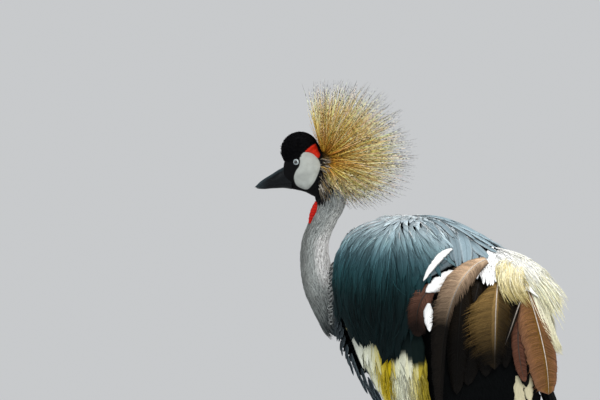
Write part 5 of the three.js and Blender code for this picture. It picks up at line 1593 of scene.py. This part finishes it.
WHITE_BITS = [
    ((62, 0.165), (48, 0.215), (29, 0.345), 6.5),
    ((88, 0.245), (62, 0.30), (34, 0.385), 15.0),
    ((40, 0.425), (38, 0.47), (42, 0.54), 8.0),
]
WHITE_DEPTHS = [(9.5, 11.5), (6.0, 9.8), (9.5, 10.5)]
WHITE_SIDES = [[(1, 1)], [(0.85, 1.1)], [(1, 1)]]
WHITE_TINT = (0.86, 0.87, 0.86)


def white_tint(feather, t, across, rng):
    """White, a little greyer to the root."""
    return np.array(WHITE_TINT) * (0.85 + 0.15 * smooth(0, 0.4, t))[..., None]


for name, side in SIDES.items():
    whites = broad_feathers(f"forewing_white_{name}", side, WHITE_BITS, WHITE_DEPTHS, white_tint, 71,
                            point=0.6, fray=0.25, camber=0.1, sides=WHITE_SIDES)
    finish_piece(whites, covert_material, "white_coverts")


# Tertials.
# Broad curved chestnut and olive-brown feathers hang over the folded wing, each with a pale shaft and loose
# barbs along its edges. The last one is the largest, and one in the middle has a wide fluffy vane.

EVEN = [(0, 1), (1, 1)]
TERTIALS = [
    {"place": ((113, 0.23), (105, 0.46), (98, 0.78), 24), "depth": (-8.5, -7.5), "tint": "umber",
     "shaft": 0.05},
    {"place": ((128, 0.22), (130, 0.46), (126, 0.74), 20), "depth": (-7.5, -6.5), "tint": "umber",
     "shaft": 0.05},
    {"place": ((156, 0.27), (178, 0.46), (186, 0.84), 14), "depth": (-7.5, -6.5), "tint": "umber",
     "shaft": 0.05},
    {"place": ((92, 0.22), (86, 0.46), (80, 0.82), 20), "depth": (-5.5, -6.5), "tint": "umber",
     "shaft": 0.05},
    {"place": ((150, 0.23), (166, 0.4), (155, 0.70), 14), "depth": (-4.5, -3.5), "tint": "umber",
     "shaft": 0.05},
    {"place": ((180, 0.26), (167, 0.54), (184, 0.80), 11), "depth": (-2.0, -1.5), "tint": "rust",
     "shaft": 0.12, "point": 0.4},
    {"place": ((175, 0.29), (169, 0.41), (155, 0.56), 4), "depth": (1.6, 1.8), "tint": "umber", "shaft": 0.8},
    {"place": ((139, 0.22), (142, 0.43), (139, 0.70), 21), "depth": (1.0, 1.5), "tint": "olive", "shaft": 1.4,
     "point": 0.5, "lee": 0.72, "ragged": 1.22,
     "front": [(0, 1.2), (0.12, 1.6), (0.3, 1.95), (0.5, 2.1), (0.7, 2.0), (0.86, 1.6), (1, 1)],
     "rear": [(0, 1.3), (0.3, 1.2), (0.6, 0.9), (1, 0.8)]},
    {"place": ((50, 0.34), (11, 0.435), (25, 0.572), 17), "depth": (6.0, 8.4), "tint": "russet", "shaft": 0.1,
     "point": 0.36},
    {"place": ((113, 0.14), (60, 0.33), (55, 0.90), 20), "depth": (12.5, 8.0), "tint": "brown", "shaft": 1.1,
     "lee": 0.45, "ragged": 1.06, "front": [(0, 1.0), (0.2, 1.15), (0.5, 1.3), (0.7, 1.1), (1, 1.0)],
     "rear": [(0, 1.4), (0.2, 1.1), (0.32, 0.75), (0.42, 0.35), (0.6, 0.25), (1, 0.5)]},
    {"place": ((178, 0.165), (221, 0.45), (218, 0.925), 25), "depth": (1.0, 2.0), "tint": "chestnut",
     "shaft": 1.2, "point": 0.3, "front": [(0, 1.3), (1, 1.3)], "rear": [(0, 0.74), (1, 0.74)]},
]
TERTIAL_TINTS = {
    "umber": ((0.010, 0.007, 0.004), (0.022, 0.014, 0.007)),
    "rust": ((0.12, 0.046, 0.026), (0.155, 0.066, 0.042)),
    "russet": ((0.120, 0.055, 0.036), (0.155, 0.074, 0.050)),
    "olive": ((0.28, 0.175, 0.058), (0.25, 0.150, 0.046)),
    "brown": ((0.56, 0.40, 0.265), (0.50, 0.335, 0.215)),
    "chestnut": ((0.142, 0.068, 0.007), (0.40, 0.190, 0.105)),
}
TERTIAL_SHADOW = {"umber": (0.33, 0.58, 0.85), "rust": (0.9, 1.2, 0.2), "russet": (0.40, 0.52, 0.93),
                  "olive": (0.31, 0.62, 0.965), "brown": (0.26, 0.5, 0.99), "chestnut": (0.95, 1.1, 0.3)}
TERTIAL_STATIONS = 36
TERTIAL_BARBS = {"half": 0.45, "thick": 0.3, "stations": 6}
BARB_RUN = {"along": 90, "tilt": 0.9}
SHAFT = {"half": 0.85, "tint": (0.50, 0.44, 0.38), "proud": 0.75}

at = np.linspace(0, 1, TERTIAL_STATIONS)
TERTIAL_OUTLINE = np.stack([vane_outline(at, row.get("point", 0.48)) for row in TERTIALS])
TERTIAL_SIDES = np.stack([[np.interp(at, *zip(*row.get(vane, EVEN))) for vane in ("front", "rear")]
                          for row in TERTIALS]).swapaxes(1, 2)


def shade_at(row, q):
    """How much of its colour a tertial keeps at a depth q, as the wing's inner feathers fall into shade."""
    start, end, share = TERTIAL_SHADOW[row["tint"]]
    return 1 - share * np.clip((q - start) / (end - start), 0, 1) ** 0.8


def tertial_shadow(t):
    """The same for every tertial along its shaft."""
    return np.stack([shade_at(row, bent(*(place[1] for place in row["place"][:3]), t)) for row in TERTIALS])


def tertial_tint(feather, t, across, rng):
    """Brown from a middle tone to an edge tone, the rear vane darker, and all of it darker in the shade."""
    middle, edge = np.array([TERTIAL_TINTS[row["tint"]] for row in TERTIALS])[:, :, None, None].swapaxes(0, 1)
    lee = np.array([row.get("lee", 0) for row in TERTIALS])[:, None, None, None]
    tone = toward(middle, edge, across**2) * (1 - lee * (across > 0.05)[..., None])
    return tone * tertial_shadow(t[0, :, 0])[:, :, None, None]


def tertial_barbs(name, side):
    """Barbs along both edges of every tertial. Each leaves the shaft, curves out and along it, and ends a
    little past the vane's edge, in the vane's colour, lighter or darker."""
    rng = np.random.default_rng(107 + side)
    count = BARB_RUN["along"]
    share = np.linspace(0.08, 0.93, count)
    roots, bends, tips, depths, tints = [], [], [], [], []
    for row, outline, sides in zip(TERTIALS, TERTIAL_OUTLINE, TERTIAL_SIDES):
        (x0, q0), (x1, q1), (x2, q2), half = row["place"]
        wide = half * np.interp(share, at, outline)
        x, q = bent(x0, x1, x2, share), bent(q0, q1, q2, share)
        drop = DROP_PER_Q(q)
        way = unit(np.column_stack([np.gradient(x), np.gradient(q) * drop]))
        for hand, edges in zip((-1, 1), sides.T):
            edge = np.interp(share, at, edges)
            square = np.column_stack([way[:, 1], -way[:, 0]]) * hand
            reach = (wide * edge * rng.uniform(0.8, 1.03, count) * row.get("ragged", 1))[:, None]
            tilt = BARB_RUN["tilt"] * rng.uniform(0.7, 1.25, (count, 1)) / (0.4 + 0.6 * edge[:, None])
            ahead = np.where(share[:, None] > 0.8, 0.6, 1.0)
            place = np.column_stack([x, q * drop])
            end = place + square * reach + way * reach * tilt * ahead
            mid = place + square * reach * 0.62 + way * reach * tilt * 0.3 * ahead
            start = place + square * reach * 0.12
            for points, found in ((start, roots), (mid, bends), (end, tips)):
                found.append(np.column_stack([points[:, 0], points[:, 1] / drop]))
            low, high = row["depth"]
            depths.append(np.tile(low + (high - low) * share[:, None], (1, 2)) + [0.4, 0.5])
            tone = np.array(TERTIAL_TINTS[row["tint"]]).mean(0)
            shade = shade_at(row, q) * (1 - row.get("lee", 0) * (hand > 0))
            tints.append(tone * (shade * rng.choice([0.65, 0.9, 1.12, 1.35], count,
                                                    p=[0.2, 0.3, 0.3, 0.2]))[:, None])
    root, bend, tip, depth, tint = (np.concatenate(parts) for parts in (roots, bends, tips, depths, tints))
    return strand_piece(name, side, root, bend, tip, depth, tint, 109, **TERTIAL_BARBS)


def tertial_shafts(name, side):
    """Shafts of the tertials: thin pale quills along their middle lines, tapered to the tip."""
    depths = [[depth + SHAFT["proud"] for depth in row["depth"]] for row in TERTIALS]
    lines, out = feather_rows(side, [row["place"] for row in TERTIALS], depths, TERTIAL_STATIONS)
    pale = np.array([row["shaft"] for row in TERTIALS])[:, None, None]
    tint = np.array(SHAFT["tint"]) * pale * tertial_shadow(at)[..., None]
    half = SHAFT["half"] * np.interp(at, [0, 0.6, 1], [1.2, 1, 0.2])
    place = np.column_stack([(np.arange(len(TERTIALS)) + 0.5) / len(TERTIALS), np.full(len(TERTIALS), 0.5)])
    return feathers(name, lines, out, half, half * 0.8, TUFT, tint, place, np.linspace(0, 1, len(TERTIALS)),
                    patch=(0.05, 0.5))


tertial_material = feather_material("tertial_feather", 0.0034, 1.5, 0.24, height=0.0005, Roughness=0.45,
                                    Specular_IOR_Level=0.08)
shaft_material = horn_material("feather_shaft", 0.35)
for name, side in SIDES.items():
    tertials = broad_feathers(f"tertials_{name}", side, [row["place"] for row in TERTIALS],
                              [row["depth"] for row in TERTIALS], tertial_tint, 73, stations=TERTIAL_STATIONS,
                              camber=0.06, fray=0.1, sides=TERTIAL_SIDES, outline=TERTIAL_OUTLINE)
    finish_piece(tertials, tertial_material, "chestnut_feathers", f"wing_{name}_tertials")
    finish_piece(tertial_barbs(f"tertial_barbs_{name}", side), hair_material, "chestnut_feathers")
    finish_piece(tertial_shafts(f"tertial_shafts_{name}", side), shaft_material, "chestnut_feathers")


# Flight feathers.
# Black primaries and secondaries lie folded under the tertials, down to the hem of the wing, with pale
# inner coverts behind the last tertial.

FLIGHT = {"count": 16, "half": 17.0, "depth": (-15.0, -11.5), "first": ((-4, 0.46), (4, 0.72), (10, 1.0)),
          "last": ((135, 0.46), (170, 0.72), (206, 0.96))}
FLIGHT_TINTS = ((0.0022, 0.0026, 0.0028), (0.005, 0.006, 0.0065))
PALE_TINT = (0.62, 0.57, 0.38)
PALE_INNERS = [((173, 0.76), (176, 0.87), (179, 1.0), 12), ((186, 0.74), (190, 0.84), (190, 0.96), 9)]


def flight_tint(feather, t, across, rng):
    """Black, with a little grey at the edge."""
    return toward(*FLIGHT_TINTS, across**4)


def pale_tint(feather, t, across, rng):
    """Cream, a little darker to the root."""
    return np.array(PALE_TINT) * (0.8 + 0.2 * t)[..., None]


black_material = feather_material("black_feather", 0.0030, 1.6, 0.3, shaft_half=0.0008, shaft_gain=1.3,
                                  Roughness=0.55, Specular_IOR_Level=0.015)
for name, side in SIDES.items():
    share = np.linspace(0, 1, FLIGHT["count"])
    first, last = np.array(FLIGHT["first"]), np.array(FLIGHT["last"])
    rows = [(*(first + (last - first) * s), FLIGHT["half"]) for s in share]
    low, high = FLIGHT["depth"]
    depths = np.column_stack([low + 2.4 * share, high + 3.5 * share])
    flight = broad_feathers(f"flight_{name}", side, rows, depths, flight_tint, 79, point=0.5, stations=24,
                            fray=0.25, camber=0.1)
    finish_piece(flight, black_material, "black_feathers", f"wing_{name}_flight")
    inners = broad_feathers(f"pale_inners_{name}", side, PALE_INNERS, [(-10, -7), (-9.5, -7)], pale_tint, 83,
                            point=0.9, fray=0.4)
    finish_piece(inners, covert_material, "white_coverts")


# Plumes.
# Loose, hair-like plumes fall from the wing's hind edge over the rump: short soft white feathers at the root,
# lemon strands that curl down and forward, and cream and straw ones that stand off behind in bundles.

PLUME_BASE = {"tuft": 110, "cover": 170, "half": 4.6, "tint": (0.98, 0.98, 0.98), "cream": (1.0, 1.0, 0.94)}
PLUME_SETS = [
    # The lemon strands darken to brownish yellow towards their tips: partly their own colour, partly painted
    # shade in the lower loops.
    {"name": "lemon", "count": 420, "root": ((140, 170), (0.04, 0.14)), "tip": ((146, 192), (0.19, 0.325)),
     "bow": -20, "lift": 6.0, "depth": ((5, 7.5), (2, 6)), "half": 0.7,
     "tints": ((0.96, 0.94, 0.84), (0.93, 0.84, 0.53), (0.62, 0.50, 0.18))},
    {"name": "cream", "count": 420, "root": ((116, 166), (-0.01, 0.07)), "tip": ((168, 204), (-0.01, 0.2)),
     "bow": 6, "lift": 5.0, "depth": ((4.5, 7), (3, 8)), "half": 0.75,
     "tints": ((1.0, 1.0, 0.98), (1.0, 0.99, 0.90), (1.0, 0.96, 0.76))},
    {"name": "straw", "count": 170, "root": ((164, 194), (0.01, 0.12)), "tip": ((208, 240), (0.0, 0.31)),
     "bow": 3, "lift": 4.0, "depth": ((2.5, 5), (-3, 10)), "half": 0.8,
     "tints": ((1.0, 0.99, 0.88), (1.0, 0.96, 0.74), (0.90, 0.86, 0.58))},
    {"name": "tail_strands", "count": 80, "root": ((184, 202), (0.1, 0.22)), "tip": ((231, 242), (0.5, 0.6)),
     "bow": 2, "lift": 0.5, "depth": ((0, 2), (-1, 1)), "half": 0.85,
     "tints": ((0.98, 0.95, 0.78), (0.92, 0.88, 0.66), (0.84, 0.80, 0.56))},
]
PLUME_STRAND = {"thick": 0.45, "stations": 11}


def plume_piece(name, side, plumes, seed):
    """One set of strands. Roots and tips run in step along their own spans, so that neighbours lie
    together, and every strand bows out between them."""
    rng = np.random.default_rng(seed + side)
    count = plumes["count"]
    lane = rng.random(count)
    across = rng.random(count)
    bundle = 0.06 * np.sin(2 * np.pi * lane * 7)

    def span(ends, share):
        return ends[0] + (ends[1] - ends[0]) * np.clip(share, -0.05, 1.05)

    x = span(plumes["root"][0], lane + 0.06 * rng.standard_normal(count))
    q = span(plumes["root"][1], across)
    tip_x = span(plumes["tip"][0], 0.75 * lane + 0.25 * across + bundle + 0.1 * rng.standard_normal(count))
    tip_q = span(plumes["tip"][1], 0.25 * (1 - lane) + 0.75 * across + 0.1 * rng.standard_normal(count))
    root, tip = np.column_stack([x, q]), np.column_stack([tip_x, tip_q])
    bend = (root + tip) / 2 + np.column_stack([plumes["bow"] * rng.uniform(0.5, 1.5, count),
                                               -0.012 * rng.uniform(0.2, 1.5, count)])
    (root_low, root_high), (tip_low, tip_high) = plumes["depth"]
    depth = np.column_stack([rng.uniform(root_low, root_high, count), rng.uniform(tip_low, tip_high, count)])
    t = np.linspace(0, 1, PLUME_STRAND["stations"])
    tone = tint_curve(zip((0, 0.5, 1), plumes["tints"]))
    tint = tone(np.clip(t[None] + 0.12 * rng.standard_normal((count, 1)), 0, 1))
    tint = tint * rng.uniform(0.92, 1.1, (count, 1, 1))
    return strand_piece(name, side, root, bend, tip, depth, tint, seed + 1, plumes["half"], **PLUME_STRAND,
                        arch=plumes["lift"])


def plume_base(name, side):
    """White root feathers over the roots of the plumes: a tuft that hangs to a scalloped lower edge, and
    cream ones that run back under the long strands."""
    rng = np.random.default_rng(101 + side)
    tuft, cover = PLUME_BASE["tuft"], PLUME_BASE["cover"]
    q = 0.16 * golden(tuft)
    x = 110 - 70 * q + 40 * np.linspace(0, 1, tuft) + 2 * rng.standard_normal(tuft)
    fall = 0.075 + 0.035 * rng.random(tuft)
    rows = [((a, b), (a + 2, b + c / 2), (a + 4, b + c), PLUME_BASE["half"])
             for a, b, c in zip(x, q, fall)]
    x = 126 + 70 * np.linspace(0, 1, cover) + 3 * rng.standard_normal(cover)
    q = -0.01 + 0.17 * golden(cover)
    fall = 0.02 + 0.05 * rng.random(cover)
    rows += [((a, b), (a + 14, b + c / 2), (a + 28, b + c), PLUME_BASE["half"])
             for a, b, c in zip(x, q, fall)]
    depths = np.column_stack([np.full(len(rows), 3.6), 5.6 + 2 * rng.random(len(rows))])
    depths[tuft:] += 0.6 * rng.standard_normal((cover, 1))
    tone = np.array([PLUME_BASE["tint"]] * tuft + [PLUME_BASE["cream"]] * cover)[:, None, None]

    def tint_of(feather, t, across, rng):
        shade = (0.93 + 0.07 * smooth(0, 0.5, t)) * rng.uniform(0.92, 1.04, (len(rows), 1, 1))
        return tone * shade[..., None]

    return broad_feathers(name, side, rows, depths, tint_of, 103, point=0.7, stations=12, fray=0.35,
                          camber=0.12)


for name, side in SIDES.items():
    base = plume_base(f"plume_base_{name}", side)
    finish_piece(base, covert_material, "straw_plumes", f"wing_{name}_plumes")
    for number, plumes in enumerate(PLUME_SETS):
        strands = plume_piece(f"plumes_{plumes['name']}_{name}", side, plumes, 120 + 10 * number)
        finish_piece(strands, hair_material, "straw_plumes")


# Tail.
# Twelve black feathers in a narrow roof that hangs from the rump between the wings.

TAIL = {"root": (132, 0, 564), "long": 212, "fall": 1.16, "feathers": 12, "half": 13.0, "droop": 0.006}


def tail_piece():
    """Tail: straight feathers that fan a little, lower to the sides by the square of the distance."""
    along = np.array([np.cos(TAIL["fall"]), 0, -np.sin(TAIL["fall"])])
    rise = np.array([np.sin(TAIL["fall"]), 0, np.cos(TAIL["fall"])])
    stations = 22
    t = np.linspace(0, 1, stations)[None, :]
    across = np.linspace(-1, 1, TAIL["feathers"])[:, None]
    v = across * (6 + 20 * t)
    u = t * (TAIL["long"] + 6 * (1 - across**2))
    uneven = 0.5 * (np.arange(TAIL["feathers"])[:, None] % 2)
    height = 3 + 3 * (1 - across**2) + uneven - TAIL["droop"] * v * v
    lines = (np.array(TAIL["root"]) + u[..., None] * along + stacked(0 * v, v, 0 * v)
             + height[..., None] * rise)
    rng = np.random.default_rng(103)
    spot = np.arange(TAIL["feathers"])
    tint = flight_tint(spot[:, None, None], t[..., None], VANE["across"][None, None], rng)
    place = np.column_stack([(spot + 0.5) / TAIL["feathers"], 0.5 + 0 * spot])
    half = TAIL["half"] * vane_outline(t, 0.5)
    return feathers("tail_feathers", lines, np.broadcast_to(rise, lines.shape), half, 0.9, VANE, tint,
                    place, rng.random(len(spot)), camber=0.1, patch=(0.07, 0.5))


finish_piece(tail_piece(), black_material, "black_feathers", "tail")


# Claws.
# Eight blunt, slightly curved claws of dark horn, one at the end of each toe.

CLAW = {"long": 13, "radii": (3.1, 2.9, 1.9, 0.5), "heights": (3.3, 3.5, 2.9, 1.3), "sunk": 1.5}

claw_parts, offset = [], 0
for side in (-1, 1):
    foot = leg_point(side, "foot")
    for turn, long, joints in TOES:
        angle = np.radians(turn * side)
        share = np.linspace(0, 1, 16)
        reach = long - CLAW["sunk"] + share * (CLAW["long"] + CLAW["sunk"])
        ahead = np.array([-np.cos(angle), -np.sin(angle), 0])
        path = np.array([foot[0], foot[1], 0]) + reach[:, None] * ahead
        path[:, 2] = np.interp(share, [0, 0.33, 0.66, 1], CLAW["heights"])
        radius = np.interp(share, [0, 0.33, 0.66, 1], CLAW["radii"])
        points, faces = loft(tube(path, radius, radius, 14), path[0], path[-1])
        points[:, 2] = np.maximum(points[:, 2], 0)
        claw_parts.append((points, [group + offset for group in faces]))
        offset += len(points)
claws = mesh_object("claws_horn", np.concatenate([points for points, _ in claw_parts]),
                    [group for _, faces in claw_parts for group in faces])
set_tints(claws, np.tile(BILL_TINTS_AND_HIGHLIGHT["base"], (len(claws.data.vertices), 1)))
finish_piece(claws, horn, "horn", *(f"claw_{name}_{number}" for name in SIDES for number in range(1, 5)))


# Floor, light and camera.
# A plain pale floor under a plain pale sky, one broad soft light high on the bird's left and behind it, a
# weaker one on its left and ahead of it, one from above, and a long lens that frames head, crest and back.

FLOOR_RADIUS = 2.2
SKY = ((0.93, 0.95, 0.97, 1), 0.62)
LIGHTS = [
    ("key", (1.7, -2.2, 2.7), 1.6, 66.0, (1.0, 0.985, 0.96)),
    ("fill", (-2.0, -2.4, 1.9), 2.2, 24.0, (0.95, 0.98, 1.0)),
    ("top", (0.6, 0.5, 3.2), 1.6, 46.0, (1.0, 0.99, 0.97)),
]
VIEW = {"azimuth": 22.0, "elevation": 4.0, "distance": 4.5, "lens": 165.0, "aim": (-197.5, -79.8, 711.8)}

turn = full_turn(96)
rim = np.column_stack([np.cos(turn), np.sin(turn), 0 * turn]) * FLOOR_RADIUS
floor_mesh = bpy.data.meshes.new("floor")
floor_mesh.from_pydata([tuple(p) for p in rim], [], [tuple(range(len(rim)))])
floor = bpy.data.objects.new("floor", floor_mesh)
bpy.context.scene.collection.objects.link(floor)
floor_material, tree, shader = new_material("floor", Roughness=0.9)
shader.inputs["Base Color"].default_value = (0.60, 0.61, 0.62, 1)
floor.data.materials.append(floor_material)

bpy.context.scene.view_settings.view_transform = "Standard"
world = bpy.data.worlds.new("sky")
world.use_nodes = True
sky = world.node_tree.nodes["Background"]
sky.inputs["Color"].default_value, sky.inputs["Strength"].default_value = SKY
bpy.context.scene.world = world


def aim(thing, place, target):
    """Puts a lamp or camera at a place and turns it to a target."""
    thing.location = place
    thing.rotation_euler = (Vector(target) - Vector(place)).to_track_quat("-Z", "Y").to_euler()


target = np.array(VIEW["aim"]) * MM + BIRD
for name, place, size, power, colour in LIGHTS:
    lamp = bpy.data.lights.new(name, "AREA")
    lamp.shape, lamp.size, lamp.energy, lamp.color = "DISK", size, power, colour
    light = bpy.data.objects.new(name, lamp)
    bpy.context.scene.collection.objects.link(light)
    aim(light, place, (0, 0, 0.6))

lens = bpy.data.cameras.new("camera")
lens.lens, lens.sensor_width = VIEW["lens"], 36.0
lens.clip_start, lens.clip_end = 0.05, 50.0
camera = bpy.data.objects.new("camera", lens)
bpy.context.scene.collection.objects.link(camera)
azimuth, elevation = np.radians(VIEW["azimuth"]), np.radians(VIEW["elevation"])
back = np.array([np.sin(azimuth) * np.cos(elevation), -np.cos(azimuth) * np.cos(elevation),
                 np.sin(elevation)])
aim(camera, target + back * VIEW["distance"], target)
bpy.context.scene.camera = camera
